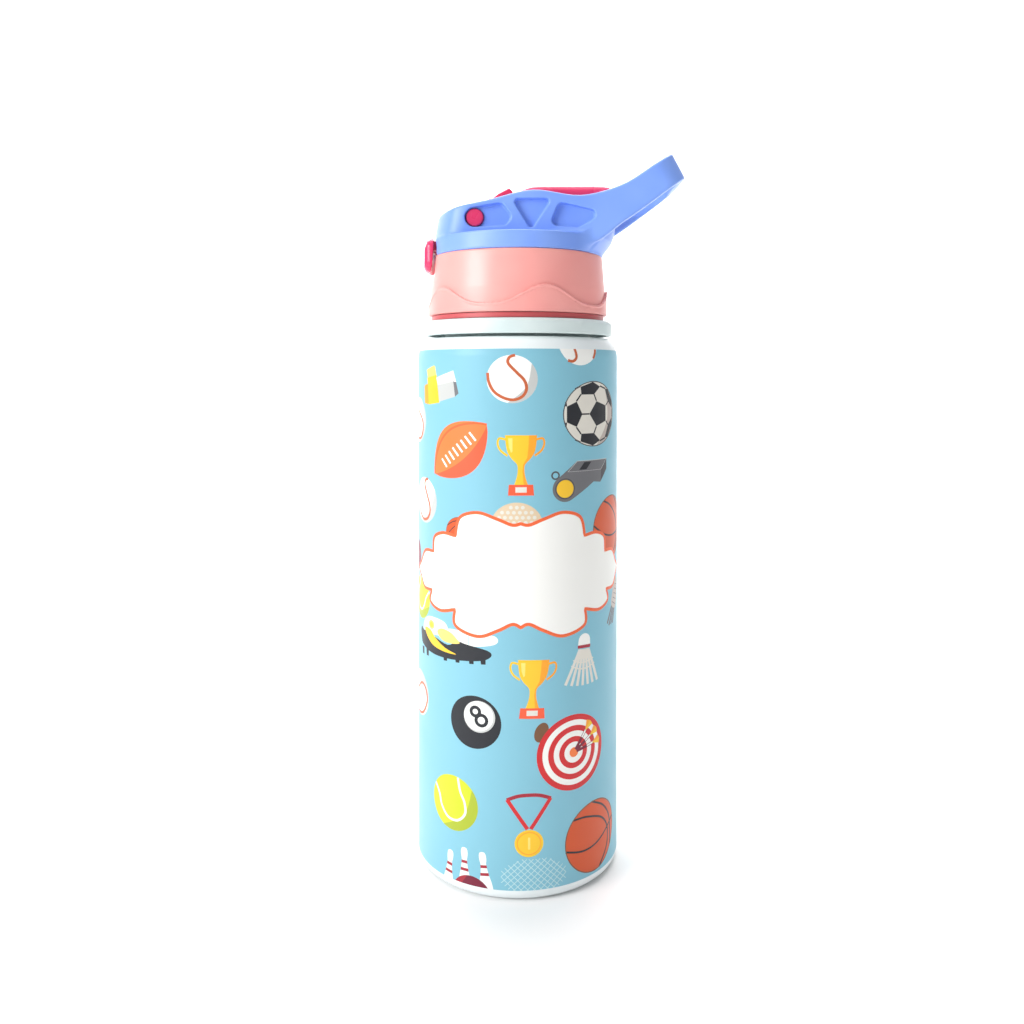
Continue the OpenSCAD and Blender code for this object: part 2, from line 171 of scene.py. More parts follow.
def vary_roughness(mat, shader, low, high, scale=60, stretch=None):
    """Roughness drifts between low and high, as on a handled surface."""
    spread = mat.node_tree.nodes.new("ShaderNodeMapRange")
    put(spread, {"From Min": 0.3, "From Max": 0.7, "To Min": low, "To Max": high})
    mat.node_tree.links.new(noise(mat, scale, stretch=stretch), spread.inputs["Value"])
    mat.node_tree.links.new(spread.outputs["Result"], shader.inputs["Roughness"])


def add_grain(mat, shader, height_mm, scale, strength=0.5, stretch=None):
    """Fine surface texture as bump."""
    bump = mat.node_tree.nodes.new("ShaderNodeBump")
    put(bump, {"Strength": strength, "Distance": height_mm * MM})
    mat.node_tree.links.new(noise(mat, scale, 4, stretch=stretch), bump.inputs["Height"])
    mat.node_tree.links.new(bump.outputs["Normal"], shader.inputs["Normal"])


def moulded_plastic(name, colour, tint, roughness=(0.34, 0.46), grain=0.03, glow=0.0):
    """Moulded plastic: two close tones drift over the surface, with a faint moulded texture."""
    mat, shader = node_material(name, colour, roughness[0])
    nodes, links = mat.node_tree.nodes, mat.node_tree.links
    tones = nodes.new("ShaderNodeValToRGB")
    tones.color_ramp.elements[0].position = 0.35
    tones.color_ramp.elements[1].position = 0.65
    tones.color_ramp.elements[0].color = srgb(*colour)
    tones.color_ramp.elements[1].color = srgb(*tint)
    links.new(noise(mat, 45, 2), tones.inputs["Fac"])
    links.new(tones.outputs["Color"], shader.inputs["Base Color"])
    vary_roughness(mat, shader, *roughness)
    add_grain(mat, shader, grain, 2600)
    if glow:
        put(shader, {"Subsurface Weight": glow, "Subsurface Radius": (1, 0.8, 0.8),
                     "Subsurface Scale": 1.2 * MM})
    return mat


def print_ink(name, colour):
    """Ink under the bottle's clear coat, with a faint orange peel in the coat."""
    mat, shader = node_material("ink_" + name, colour, 0.42, 0.3)
    put(shader, {"Coat Weight": 0.1, "Coat Roughness": 0.25})
    vary_roughness(mat, shader, 0.38, 0.48, scale=90)
    add_grain(mat, shader, 0.02, 1500, 0.35)
    return mat


def steel_material():
    mat, shader = node_material("drawn_steel", (196, 200, 204), 0.3)
    put(shader, {"Metallic": 1})
    vary_roughness(mat, shader, 0.22, 0.4, 300)
    add_grain(mat, shader, 0.01, 4000)
    return mat


def bare_aluminium():
    """The inside of the bottle: drawn aluminium with fine rings round it."""
    mat, shader = node_material("drawn_aluminium", (205, 208, 210), 0.35)
    put(shader, {"Metallic": 1})
    vary_roughness(mat, shader, 0.28, 0.45, 120, (1, 1, 12))
    add_grain(mat, shader, 0.02, 300, 0.4, (0.2, 0.2, 12))
    return mat


def coated_white():
    mat, shader = node_material("white_coat", (236, 243, 244), 0.3)
    put(shader, {"Coat Weight": 0.3, "Coat Roughness": 0.15})
    vary_roughness(mat, shader, 0.28, 0.38, 70)
    add_grain(mat, shader, 0.03, 1100, 0.35)
    return mat


def straw_plastic():
    mat, shader = node_material("straw_plastic", (236, 240, 240), 0.35)
    put(shader, {"Transmission Weight": 0.6, "IOR": 1.49})
    vary_roughness(mat, shader, 0.3, 0.45, 150, (1, 1, 0.1))
    add_grain(mat, shader, 0.02, 500, 0.4, (1, 1, 0.05))
    return mat


CORAL = moulded_plastic("coral_plastic", (246, 160, 155), (249, 170, 164), (0.3, 0.42))
# Painted shade: the liner is the same coral plastic, darkened for the shadow its lip sits in below the
# base's skirt
CORAL_IN_PAINTED_SHADE = moulded_plastic("coral_painted_shade", (205, 90, 95), (212, 98, 102))
BLUE = moulded_plastic("blue_plastic", (122, 160, 247), (134, 171, 250), (0.32, 0.44))
MAGENTA = moulded_plastic("magenta_plastic", (228, 52, 102), (236, 66, 112), (0.22, 0.34))
COLLAR = moulded_plastic("collar_plastic", (208, 224, 224), (220, 232, 231), (0.34, 0.46))
SILICONE = moulded_plastic("silicone", (238, 238, 232), (228, 230, 226), (0.45, 0.6), 0.02, 0.3)
STEEL = steel_material()
ALUMINIUM = bare_aluminium()
COAT = coated_white()
STRAW = straw_plastic()

INKS = {
    "sky": (132, 191, 210), "white": (246, 246, 242), "cream": (226, 222, 212),
    "pale_grey": (196, 198, 196), "warm_grey": (190, 178, 170), "grey": (112, 112, 116),
    "dark_grey": (84, 84, 88), "black": (38, 40, 46), "orange": (247, 128, 66),
    "border": (240, 104, 58), "coral": (244, 96, 62), "rust": (196, 100, 62),
    "ball_orange": (214, 86, 40), "brown": (122, 84, 58), "beige": (222, 200, 168),
    "yellow": (250, 200, 52), "amber": (250, 166, 48), "lemon": (252, 226, 120),
    "red": (212, 44, 48), "maroon": (124, 36, 58), "wine": (168, 44, 58),
    "lime": (206, 216, 44), "olive": (170, 184, 48), "mist": (190, 222, 226),
}


# ---- Meshes ----

def make_piece(name, verts, loops, sizes, materials, face_material=None, normals=None):
    """A smooth mesh object, in metres, from points in millimetres and its faces' corners."""
    mesh = bpy.data.meshes.new(name)
    mesh.vertices.add(len(verts))
    mesh.vertices.foreach_set("co", (np.asarray(verts, np.float32) * MM).ravel())
    mesh.loops.add(len(loops))
    mesh.loops.foreach_set("vertex_index", np.asarray(loops, np.int32))
    mesh.polygons.add(len(sizes))
    starts = np.concatenate([[0], np.cumsum(sizes)[:-1]]).astype(np.int32)
    mesh.polygons.foreach_set("loop_start", starts)
    for mat in materials:
        mesh.materials.append(mat)
    if face_material is not None:
        mesh.polygons.foreach_set("material_index", np.asarray(face_material, np.int32))
    mesh.update(calc_edges=True)
    mesh.validate()
    mesh.shade_smooth()
    if normals is not None:
        mesh.normals_split_custom_set_from_vertices(np.asarray(normals, np.float32).tolist())
    piece = bpy.data.objects.new(name, mesh)
    bpy.context.collection.objects.link(piece)
    return piece


class Grid:
    """A box of evenly spaced points, on which a solid's distance is worked out."""

    def __init__(self, low, high, step):
        self.low, self.step = np.array(low, float), step
        axes = [np.arange(a, b + step, step, dtype=np.float32) for a, b in zip(low, high)]
        self.x, self.y, self.z = axes[0][:, None, None], axes[1][None, :, None], axes[2][None, None, :]
        self.r = np.hypot(self.x, self.y)
        self.shape = tuple(len(a) for a in axes)

    def full(self, distance):
        return np.ascontiguousarray(np.broadcast_to(distance, self.shape), dtype=np.float32)


def polygon_distance(points, u, v):
    """Distance to a polygon, negative inside it."""
    points = np.array(points, np.float32)
    best, inside = np.float32(1e9), False
    for a, b in zip(points, np.roll(points, -1, axis=0)):
        edge = b - a
        if not edge.any():
            continue
        du, dv = u - a[0], v - a[1]
        t = np.clip((du * edge[0] + dv * edge[1]) / (edge @ edge), 0, 1)
        best = np.minimum(best, (du - t * edge[0]) ** 2 + (dv - t * edge[1]) ** 2)
        if a[1] != b[1]:
            beyond = u < a[0] + (v - a[1]) * edge[0] / edge[1]
            inside = inside ^ (((a[1] <= v) != (b[1] <= v)) & beyond)
    return np.where(inside, -1, 1) * np.sqrt(best)


def join(a, b, radius=0.3):
    """Union of two solids, with a fillet where they meet."""
    if np.all(radius == 0):
        return np.minimum(a, b)
    corner = np.hypot(np.maximum(radius - a, 0), np.maximum(radius - b, 0))
    return np.maximum(radius, np.minimum(a, b)) - corner


def common(a, b, radius=0.3):
    """What two solids share, with a rounded edge where their faces meet."""
    return -join(-a, -b, radius)


def cut(a, b, radius=0.3):
    return -join(-a, b, radius)


def slab(value, low, high):
    return np.maximum(low - value, value - high)


def bar(g, low, high, radius=0.3):
    """A box with rounded edges."""
    sides = common(slab(g.x, low[0], high[0]), slab(g.y, low[1], high[1]), radius)
    return common(sides, slab(g.z, low[2], high[2]), radius)


def rod_y(g, at, radius, low, high, edge=0.2):
    """A round bar along Y, on both sides of the lid."""
    return common(np.hypot(g.x - at[0], g.z - at[1]) - radius, slab(abs(g.y), low, high), edge)


def sample(field, g, points):
    """The field's value at any points, from the eight grid points round each."""
    place = np.clip((points - g.low) / g.step, 0, np.array(g.shape) - 1.001)
    cell = place.astype(np.int64)
    part = place - cell
    total = 0
    for i in (0, 1):
        for j in (0, 1):
            for k in (0, 1):
                weight = abs(1 - i - part[:, 0]) * abs(1 - j - part[:, 1]) * abs(1 - k - part[:, 2])
                total = total + weight * field[cell[:, 0] + i, cell[:, 1] + j, cell[:, 2] + k]
    return total


def slope(field, g, points):
    """Unit direction in which the distance grows, which is the surface's normal."""
    h = 0.6 * g.step
    steps = [(sample(field, g, points + h * e) - sample(field, g, points - h * e)) for e in np.eye(3)]
    slopes = np.stack(steps, axis=1)
    return slopes / np.maximum(np.linalg.norm(slopes, axis=1, keepdims=True), 1e-9)


def skin(name, field, g, material):
    """The smooth surface on which the field is zero, as a mesh of quads."""
    inside = field < 0
    corners = [(i, j, k) for i in (0, 1) for j in (0, 1) for k in (0, 1)]
    nx, ny, nz = (n - 1 for n in g.shape)
    count = sum(inside[i:nx + i, j:ny + j, k:nz + k].astype(np.uint8) for i, j, k in corners)
    mixed = (count > 0) & (count < 8)
    cells = np.argwhere(mixed)
    number = np.full(mixed.shape, -1, np.int32)
    number[mixed] = np.arange(len(cells))
    values = [field[cells[:, 0] + i, cells[:, 1] + j, cells[:, 2] + k] for i, j, k in corners]
    total, hits = np.zeros((len(cells), 3)), np.zeros(len(cells))
    for a in range(8):
        for b in range(a + 1, 8):
            step = np.subtract(corners[b], corners[a])
            if abs(step).sum() != 1:
                continue
            crossed = (values[a] < 0) != (values[b] < 0)
            share = values[a][crossed] / (values[a][crossed] - values[b][crossed])
            total[crossed] += np.array(corners[a]) + share[:, None] * step
            hits[crossed] += 1
    verts = g.low + g.step * (cells + total / hits[:, None])
    for _ in range(2):
        push = sample(field, g, verts)[:, None] * slope(field, g, verts)
        verts = verts - np.clip(push, -0.4 * g.step, 0.4 * g.step)
    quads = []
    for axis in range(3):
        near = np.moveaxis(inside, axis, 0)
        starts = np.argwhere(near[:-1] != near[1:])
        starts = starts[(starts[:, 1] > 0) & (starts[:, 2] > 0)]
        outward = near[starts[:, 0], starts[:, 1], starts[:, 2]]
        ring = []
        for du, dv in ((1, 1), (0, 1), (0, 0), (1, 0)):
            spot = starts - np.array([0, du, dv])
            ring.append(np.moveaxis(number, axis, 0)[spot[:, 0], spot[:, 1], spot[:, 2]])
        ring = np.stack(ring, axis=1)
        flip = outward if axis == 1 else ~outward
        ring[flip] = ring[flip][:, ::-1]
        quads.append(ring)
    quads = np.concatenate(quads)
    quads = quads[(quads >= 0).all(axis=1)]
    return make_piece(name, verts, quads.ravel(), [4] * len(quads), [material],
                      normals=slope(field, g, verts))


# ---- The printed artwork ----
# An icon is a list of (ink, outline) pairs, painted in order, in millimetres round its middle.

def stroke(ink, points, width, closed=False):
    """A line of even width, as a row of triangles."""
    points = np.array(points, float)
    ahead, behind = np.roll(points, -1, axis=0), np.roll(points, 1, axis=0)
    if not closed:
        ahead[-1] = 2 * points[-1] - points[-2]
        behind[0] = 2 * points[0] - points[1]
    along = (ahead - behind) / np.linalg.norm(ahead - behind, axis=1, keepdims=True)
    across = np.stack([-along[:, 1], along[:, 0]], axis=1) * width / 2
    left, right = points + across, points - across
    n = len(points)
    patches = []
    for i in range(n if closed else n - 1):
        j = (i + 1) % n
        patches += [(ink, [left[i], left[j], right[j]]), (ink, [left[i], right[j], right[i]])]
    return patches


def disc(ink, radius, centre=(0, 0), count=56):
    return [(ink, ellipse(centre, radius, radius, 0, count))]


def crescent(ink, radius, start, end, depth):
    """A shaded edge of a disc, from one angle to another, with its inner side bowed by depth."""
    outer = arc((0, 0), radius, start, end, 18)
    middle = math.radians((start + end) / 2)
    reach = radius * (1 - depth)
    inner = spline([outer[-1], (reach * math.cos(middle), reach * math.sin(middle)), outer[0]], 8)
    return [(ink, outer + inner[1:-1])]


def baseball(r):
    seam = [(0.12, 0.99), (-0.1, 0.9), (-0.15, 0.66), (0.16, 0.3), (0.48, -0.06), (0.56, -0.42),
            (0.4, -0.72), (0.05, -0.86), (-0.36, -0.76), (-0.72, -0.5), (-0.92, -0.1), (-0.96, 0.26)]
    line = [(r * x, r * y) for x, y in spline(seam, 5)]
    return (disc("white", r) + crescent("pale_grey", r, -100, 40, 0.36)
            + stroke("rust", line, 0.12 * r))


def soccer_ball(r):
    """A ball with twelve black five-sided patches, one of them facing front, right of the middle."""
    golden, lean = (1 + math.sqrt(5)) / 2, 0.25
    tips = [np.array(tip) / math.hypot(1, golden) for a in (-1, 1) for b in (-golden, golden)
            for tip in ((0, a, b), (a, b, 0), (b, 0, a))]
    front = tips[0]
    beside = min(tips[1:], key=lambda tip: np.linalg.norm(tip - front))
    across = front * front.dot(beside) - beside
    across /= np.linalg.norm(across)
    turned = np.array([across, np.cross(front, across), front])
    c, s = math.cos(lean), math.sin(lean)
    tips = [np.array([[c, 0, s], [0, 1, 0], [-s, 0, c]]) @ turned @ tip for tip in tips]
    art = disc("cream", r) + crescent("warm_grey", r, -85, 62, 0.35)
    patches = []
    for i, tip in enumerate(tips):
        corners = []
        for k, other in enumerate(tips):
            if i == k or np.linalg.norm(tip - other) > 1.2:
                continue
            near, far = 1.55 * tip + other, tip + 1.55 * other
            near, far = near / np.linalg.norm(near), far / np.linalg.norm(far)
            if i < k and near[2] > 0 and far[2] > 0:
                art += stroke("black", [tuple(r * near[:2]), tuple(r * far[:2])], 0.045 * r)
            corners.append(near[:2] if near[2] > 0 else near[:2] / np.linalg.norm(near[:2]))
        middle = sum(corners) / len(corners)
        corners.sort(key=lambda corner: math.atan2(*(corner - middle)[::-1]))
        if tip[2] > -0.15:
            patches += [("black", [tuple(0.98 * r * corner) for corner in corners])]
    return art + patches + stroke("dark_grey", ellipse((0, 0), 0.985 * r, 0.985 * r), 0.03 * r, True)


def rugby_ball(length):
    """An American football seen from the side, with its laces along the middle."""
    half, deep = length / 2, 0.31 * length

    def lens(height, sign, blunt=0.06):
        ends = half * (1 - blunt)
        return [(x, sign * height * math.cos(x / ends * math.pi / 2) ** 0.8)
                for x in np.linspace(-ends, ends, 21)]
    top, low = lens(deep, 1), lens(deep, -1)
    art = [("orange", top + low[::-1])]
    art += [("coral", lens(0.42 * deep, -1) + low[::-1])]
    art += stroke("border", lens(0.8 * deep, 1), 0.025 * length)
    for i in range(8):
        x = (i - 3.5) * 0.072 * length
        tall = 0.062 * length
        art += [("white", [(x - 0.35, -tall), (x + 0.35, -tall), (x + 0.35, tall), (x - 0.35, tall)])]
    return art


def trophy(height):
    k = height / 20
    left = [(-5.4, 10), (-5.2, 7.2), (-4.6, 4.4), (-3.2, 2.2), (-1.6, 0.6), (-1.15, -0.8),
            (-1.35, -3.4), (-2.3, -6.4)]
    right = [(-x, y) for x, y in left]
    shade = [(5.4, 10), (2.7, 10), (2.5, 6), (2.1, 2.6), (0.7, 0.2), (0.45, -2), (0.9, -6.4), (2.3, -6.4)]
    handle = spline([(-5.2, 8.6), (-7.4, 8.9), (-7.9, 7), (-6.9, 4.9), (-4.6, 3.2)], 6)
    art = []
    for side in (-1, 1):
        art += stroke("yellow" if side < 0 else "amber", [(-side * x, y) for x, y in handle], 0.72)
    art += [("yellow", spline(left, 3) + spline(right, 3)[::-1])]
    art += [("amber", shade + spline(right, 3)[::-1][1:-1])]
    art += [("lemon", [(-4.4, 9), (-2.9, 9), (-2.9, 4.6), (-3.4, 4.2), (-4.1, 6)])]
    art += [("coral", [(-4.1, -6.4), (4.1, -6.4), (4.4, -10), (-4.4, -10)])]
    art += [("cream", [(-1.9, -7.2), (1.9, -7.2), (1.9, -9), (-1.9, -9)])]
    return [(ink, [(k * x, k * y) for x, y in shape]) for ink, shape in art]


def whistle():
    body = arc((-7, -2.4), 4.4, 128, 300, 16) + [(4.6, -0.7), (8.2, -1.1), (12, 3.2), (12, 6.8), (-2.6, 6.8)]
    return (stroke("dark_grey", ellipse((-10.4, 2.2), 1.2, 1.2, 0, 20), 0.55, True)
            + [("grey", body), ("pale_grey", [(-2.6, 6.8), (12, 6.8), (8.6, 3.2), (-6.2, 3.2)]),
               ("grey", [(-2.5, 6.6), (11.6, 6.6), (8.5, 3.3), (-5.9, 3.3)]),
               ("dark_grey", [(8.6, 3.2), (12, 6.8), (12, 3.2), (8.4, -0.9)]),
               ("black", [(0.4, 6.2), (3.4, 6.2), (1.2, 3.7), (-1.8, 3.7)])]
            + disc("dark_grey", 3.5, (-7, -2.4)) + disc("yellow", 3, (-7, -2.4)))


def basketball(r):
    art = disc("ball_orange", r)
    lines = [[(-0.98, -0.18), (-0.4, -0.3), (0.2, -0.2), (0.97, 0.2)],
             [(-0.75, 0.64), (-0.3, 0.62), (0.3, 0.4), (0.62, 0), (0.6, -0.5), (0.2, -0.97)],
             [(-0.1, 0.98), (0.4, 0.7), (0.75, 0.2), (0.8, -0.58)]]
    for line in lines:
        art += stroke("black", [(r * x, r * y) for x, y in spline(line, 7)], 0.055 * r)
    return art + stroke("brown", ellipse((0, 0), 0.985 * r, 0.985 * r), 0.03 * r, True)


def tennis_ball(r):
    seam = spline([(-0.72, 0.68), (-0.6, 0.3), (-0.58, -0.1), (-0.36, -0.5), (0.05, -0.62),
                   (0.42, -0.4), (0.5, 0), (0.42, 0.4), (0.44, 0.88)], 5)
    return (disc("lime", r) + crescent("olive", r, -130, 25, 0.42)
            + stroke("white", [(r * x, r * y) for x, y in seam], 0.085 * r))


def shuttlecock():
    art = []
    for i in range(7):
        lean = (i - 3) / 3
        art += stroke("cream", [(1.7 * lean, 2.8), (6.2 * lean, -8.6 + 0.7 * lean * lean)], 0.95)
    for level in (-1.2, -3.2):
        width = 2.4 + 1.2 * (2.8 - level) / 4
        art += stroke("cream", arc((0, level + 8), 8.2, 270 - 8 * width, 270 + 8 * width, 8), 0.4)
    dome = arc((0, 5.4), 2.3, 0, 180, 14)
    return art + [("white", dome + [(-2.4, 3.6), (2.4, 3.6)]),
                  ("wine", [(-2.5, 4.1), (2.5, 4.1), (2.45, 3.1), (-2.45, 3.1)])]


def eight_ball(r):
    art = disc("black", r) + disc("pale_grey", 0.6 * r, (0.18 * r, 0.23 * r))
    art += disc("white", 0.56 * r, (0.15 * r, 0.25 * r))
    for centre, size in (((0.04, 0.41), 0.165), ((0.27, 0.1), 0.2)):
        ring = ellipse((centre[0] * r, centre[1] * r), size * r, size * r, 0, 28)
        art += stroke("black", ring, 0.125 * r, True)
    return art


def dart_target(r):
    art = []
    for i in range(7):
        art += disc("white" if i % 2 else "red", r * (1 - 0.145 * i))
    art += disc("orange", 0.13 * r)
    for angle in (10, 32, 54):
        c, s = math.cos(math.radians(angle)), math.sin(math.radians(angle))
        along = [(0.08 * r * c, 0.08 * r * s), (0.42 * r * c, 0.42 * r * s), (0.74 * r * c, 0.74 * r * s)]
        art += stroke("maroon", along, 0.08 * r) + stroke("white", along[1:], 0.05 * r)
        for lean in (-0.13, 0.13):
            tail = [(0.6 * r * c, 0.6 * r * s), (r * (0.86 * c - lean * s), r * (0.86 * s + lean * c)),
                    (r * 0.9 * c, r * 0.9 * s), (r * 0.7 * c, r * 0.7 * s)]
            art += [("yellow" if lean < 0 else "amber", tail)]
    return art


def medal():
    ribbon = spline([(-7, 11.2), (-3.5, 12.5), (0, 12.8), (3.5, 12.5), (7, 11.2)], 5)
    art = stroke("wine", ribbon, 1.2)
    for side in (-1, 1):
        art += stroke("red", [(side * 6.9, 11.3), (side * 0.5, 1.4)], 1.25)
    art += disc("yellow", 4.55, (0, -3.4))
    art += stroke("amber", ellipse((0, -3.4), 3.7, 3.7, 0, 36), 0.35, True)
    return art + [("lemon", [(-0.35, -1.4), (0.35, -1.4), (0.35, -5.4), (-0.35, -5.4)])]


def bowling_pin():
    half = [(0, 8.2), (0.85, 7.9), (1.2, 6.8), (1.15, 5.4), (0.95, 4.2), (1.05, 2.8), (1.4, 0.6),
            (2, -2), (2.3, -5), (1.8, -8)]
    outline = spline(half, 4) + [(-x, y) for x, y in spline(half, 4)[::-1][:-1]]
    art = [("white", outline)]
    for level, width in ((3.3, 2.1), (0.7, 2.8)):
        art += [("wine", [(-width / 2, level + 0.5), (width / 2, level + 0.5),
                          (width / 2 + 0.05, level - 0.5), (-width / 2 - 0.05, level - 0.5)])]
    return art


def bowling_ball(r):
    return disc("maroon", r) + crescent("wine", r, 100, 190, 0.3)


def racket_net():
    """A faint piece of net: thin strings that cross at a slant."""
    art = []
    for lean in (-1, 1):
        for i in range(-5, 6):
            line = [(2.1 * i + lean * t / 2, t / 2) for t in range(-14, 15)]
            inside = [(x, y) for x, y in line if (x / 11) ** 2 + (y / 6.5) ** 2 < 1]
            if len(inside) > 1:
                art += stroke("mist", [inside[0], inside[-1]], 0.22)
    return art


def football_boot():
    upper = spline([(-16.4, 4.4), (-17.6, 2.8), (-17.2, 0), (-16, -2.8), (-10, -5), (-3, -6), (6, -6.2),
                    (14, -5.6), (17, -3.6), (15.5, -1.4), (8, 0.8), (4.6, 1.6), (0.6, -0.4), (-6, 1.8),
                    (-12, 3.4), (-14.4, 3.2)], 4, True)
    stripe = spline([(-13, 4.8), (-12, 2), (-8, -1.6), (-2, -3.4), (4, -3.9), (-1, -1.8), (-6, 1.6),
                     (-8.8, 4.4)], 4, True)
    trim = spline([(-4.6, 4.4), (-2.4, 1.4), (1.4, 0.4), (5.6, 0.8), (4.6, 2.6), (2, 5), (-2, 6)], 4, True)
    art = []
    for x in (-15.4, -11.6, -1, 4.4, 9.8, 14):
        art += [("black", [(x - 1, -4), (x + 1, -4), (x + 0.8, -7.2), (x - 0.8, -7.2)])]
    art += [("white", spline([(-13.6, 3), (-13.4, 7.5), (-9, 10), (-1, 9), (1, 5.4), (-2, 3)], 5,
                             True))]
    art += disc("lemon", 1.9, (-8, 6.6)) + disc("yellow", 1.2, (-8, 6.6))
    art += [("white", spline([(-3, 5), (2, 6.4), (10, 5.6), (18.4, 4.4), (18.8, 1.2), (12, 0),
                              (2, 0.6)], 5, True))]
    art += stroke("mist", [(9.6, 5.4), (9.2, 0.6)], 0.5)
    return art + [("black", upper), ("yellow", stripe), ("lemon", trim)]


def golf_ball(r):
    art = disc("beige", r)
    for row in range(-4, 5):
        for column in range(-4, 5):
            x, y = 0.22 * r * (column + 0.5 * (row % 2)), 0.2 * r * row
            if math.hypot(x, y) < 0.88 * r:
                art += disc("cream", 0.075 * r, (x, y), 10)
    return art


def podium():
    return [("lemon", rounded([(-6, 6.8), (-1.4, 8.8), (-0.6, 3.4), (-5, 2)], 0.6)),
            ("yellow", [(-5.6, 3.4), (-0.6, 4.6), (0.6, -7), (-4.8, -8)]),
            ("amber", rounded([(-7.6, 0), (-5.4, 1), (-4.8, -8), (-7.4, -7.4)], 0.5)),
            ("white", [(-0.8, 3.4), (6, 6.4), (7, 1.6), (0, 0.4)]),
            ("pale_grey", [(0, 0.4), (6, 2), (6.6, -4.4), (0.6, -6.6)]),
            ("grey", [(6, 2), (7, 1.6), (7.8, -3), (6.6, -4.4)])]


def glove():
    """A batting glove, partly behind the plaque."""
    fingers = []
    for i in range(4):
        root, tip = (-1.6 + 1.1 * i, 0), (-3.6 + 1.5 * i, -6.6 + 0.5 * abs(i - 1))
        fingers += stroke("grey", [root, tip], 1)
        fingers += disc("grey", 0.5, tip, 14)
    palm = spline([(-2.4, 0.6), (2.6, -0.4), (4.4, 5), (3, 10), (-1, 9)], 5, True)
    art = fingers + [("warm_grey", palm)]
    for i in range(5):
        art += stroke("grey", [(-1.6 + 0.5 * i, 1.2 + 1.6 * i), (3 + 0.1 * i, 0.6 + 1.8 * i)], 0.3)
    return art


def plaque():
    """The name plaque, left blank: four big lobes, four small ones and two pointed ends."""
    top = (spline([(0, 17.4), (2.6, 16.9), (7.4, 18.8), (13.8, 20.7), (20.2, 18.6), (22, 12.2)], 7)[:-1]
           + spline([(22, 12.2), (27.4, 12.7), (32, 10.6), (32.6, 5.6)], 6)[:-1]
           + spline([(32.6, 5.6), (38.4, 5), (42.6, 0.4), (46.4, -2.2)], 6)[:-1])
    low = (spline([(46.4, -2.2), (42.8, -4.6), (39, -8), (33.6, -8)], 6)[:-1]
           + spline([(33.6, -8), (34.6, -12), (29, -14.2), (22.2, -12.8)], 6)[:-1]
           + spline([(22.2, -12.8), (22, -18.2), (13.8, -20.8), (7.2, -18.4), (2.6, -16.1), (0, -17.2)], 7))
    right = top + low
    outline = right + [(-x, y) for x, y in right[::-1][1:-1]]
    return [("white", outline)] + stroke("border", outline, 1.1, True)


ART_STRETCH = 1.07     # the artwork is a little wider than tall on the bottle


def place(icon, s, z, turn=0, size=1):
    """Moves an icon to arc length s from the front and height z."""
    c, si = size * math.cos(math.radians(turn)), size * math.sin(math.radians(turn))
    return [(ink, [(s + ART_STRETCH * (x * c - y * si), z + x * si + y * c) for x, y in shape])
            for ink, shape in icon]


def wide(icon, factor):
    """An icon stretched sideways."""
    return [(ink, [(factor * x, y) for x, y in shape]) for ink, shape in icon]


def front_artwork():
    return (place(baseball(8), -1.9, 174.6)
            + place(baseball(8), 22.6, 187.2, 150) + place(wide(podium(), 1.45), -31, 172.2, 0, 0.82)
            + place(baseball(8), -48, 160, 20) + place(baseball(8), -40.4, 132, -12)
            + place(baseball(8), -46, 62.4, 80)
            + place(wide(soccer_ball(11.2), 1.12), 29, 162.7) + place(rugby_ball(29), -21.6, 150.7, 40)
            + place(wide(trophy(20), 0.92), 1.1, 146) + place(whistle(), 24, 140.2)
            + place(golf_ball(8.4), -0.3, 125.3) + place(basketball(11.4), 40.8, 122.4, -20)
            + place(basketball(5.4), -21, 122.6, 60)
            + place(bowling_ball(5.6), -51, 111.5) + place(tennis_ball(7.6), -44.5, 97, -40)
            + place(glove(), 43.5, 94, -16) + place(wide(football_boot(), 1.18), -26.6, 84.2, 4, 0.82)
            + place(plaque(), 1, 109.3)
            + place(shuttlecock(), 24.2, 79.8, -3, 1.08) + place(wide(trophy(20), 0.94), 5.1, 71.4, -2, 0.98)
            + place(eight_ball(8.9), -15, 59.5) + place(football_mark(), 8, 56.8)
            + place(dart_target(12.8), 20, 48.5) + place(tennis_ball(9.4), -23.7, 30.4, 14)
            + place(medal(), 3.8, 23.3) + place(racket_net(), 5.6, 8.6)
            + place(basketball(12.3), 29.6, 17.3) + place(bowling_pin(), -25.6, 5.8, -6)
            + place(bowling_pin(), -18.8, 8.2, 1) + place(bowling_pin(), -11.2, 8, 7)
            + place(bowling_ball(7), -16.4, 0.3))


def football_mark():
    return [("brown", ellipse((0, 0), 2.2, 3.4, -20, 24))]


def back_artwork():
    """The same icons, spread over the part of the print that faces away from the plaque."""
    rows = [(173, (soccer_ball(10), rugby_ball(23), basketball(9), baseball(8))),
            (150, (trophy(19), tennis_ball(9), dart_target(10.5), whistle())),
            (127, (eight_ball(8.6), shuttlecock(), podium(), soccer_ball(10))),
            (104, (rugby_ball(22), medal(), baseball(8), trophy(18))),
            (80, (basketball(10), whistle(), tennis_ball(8.6), eight_ball(8.6))),
            (57, (trophy(19), football_boot(), golf_ball(8), shuttlecock())),
            (33, (dart_target(10.5), baseball(8), rugby_ball(22), medal())),
            (12, (tennis_ball(8), bowling_ball(7), trophy(14), soccer_ball(8)))]
    half_turn = math.pi * body_r
    art = []
    for index, (z, icons) in enumerate(rows):
        for column, icon in enumerate(icons):
            angle = -0.72 + 0.48 * column + 0.12 * (index % 2)
            s = (half_turn + angle * half_turn / 1.5 * 0.82 + half_turn) % (2 * half_turn) - half_turn
            turn = (index * 47 + column * 29) % 44 - 22
            art += place(icon, s, z + 3 * ((column + index) % 2), turn, 0.92)
    return art


# ---- The bottle ----

print_low, print_high = 4.1, 184.7
wall_top = 185.0       # where the printed mesh ends and the bare coat goes on
columns = 240
wall = 0.8
base_corner_r = 4
shoulder_r = 9
mouth_r = 24.2


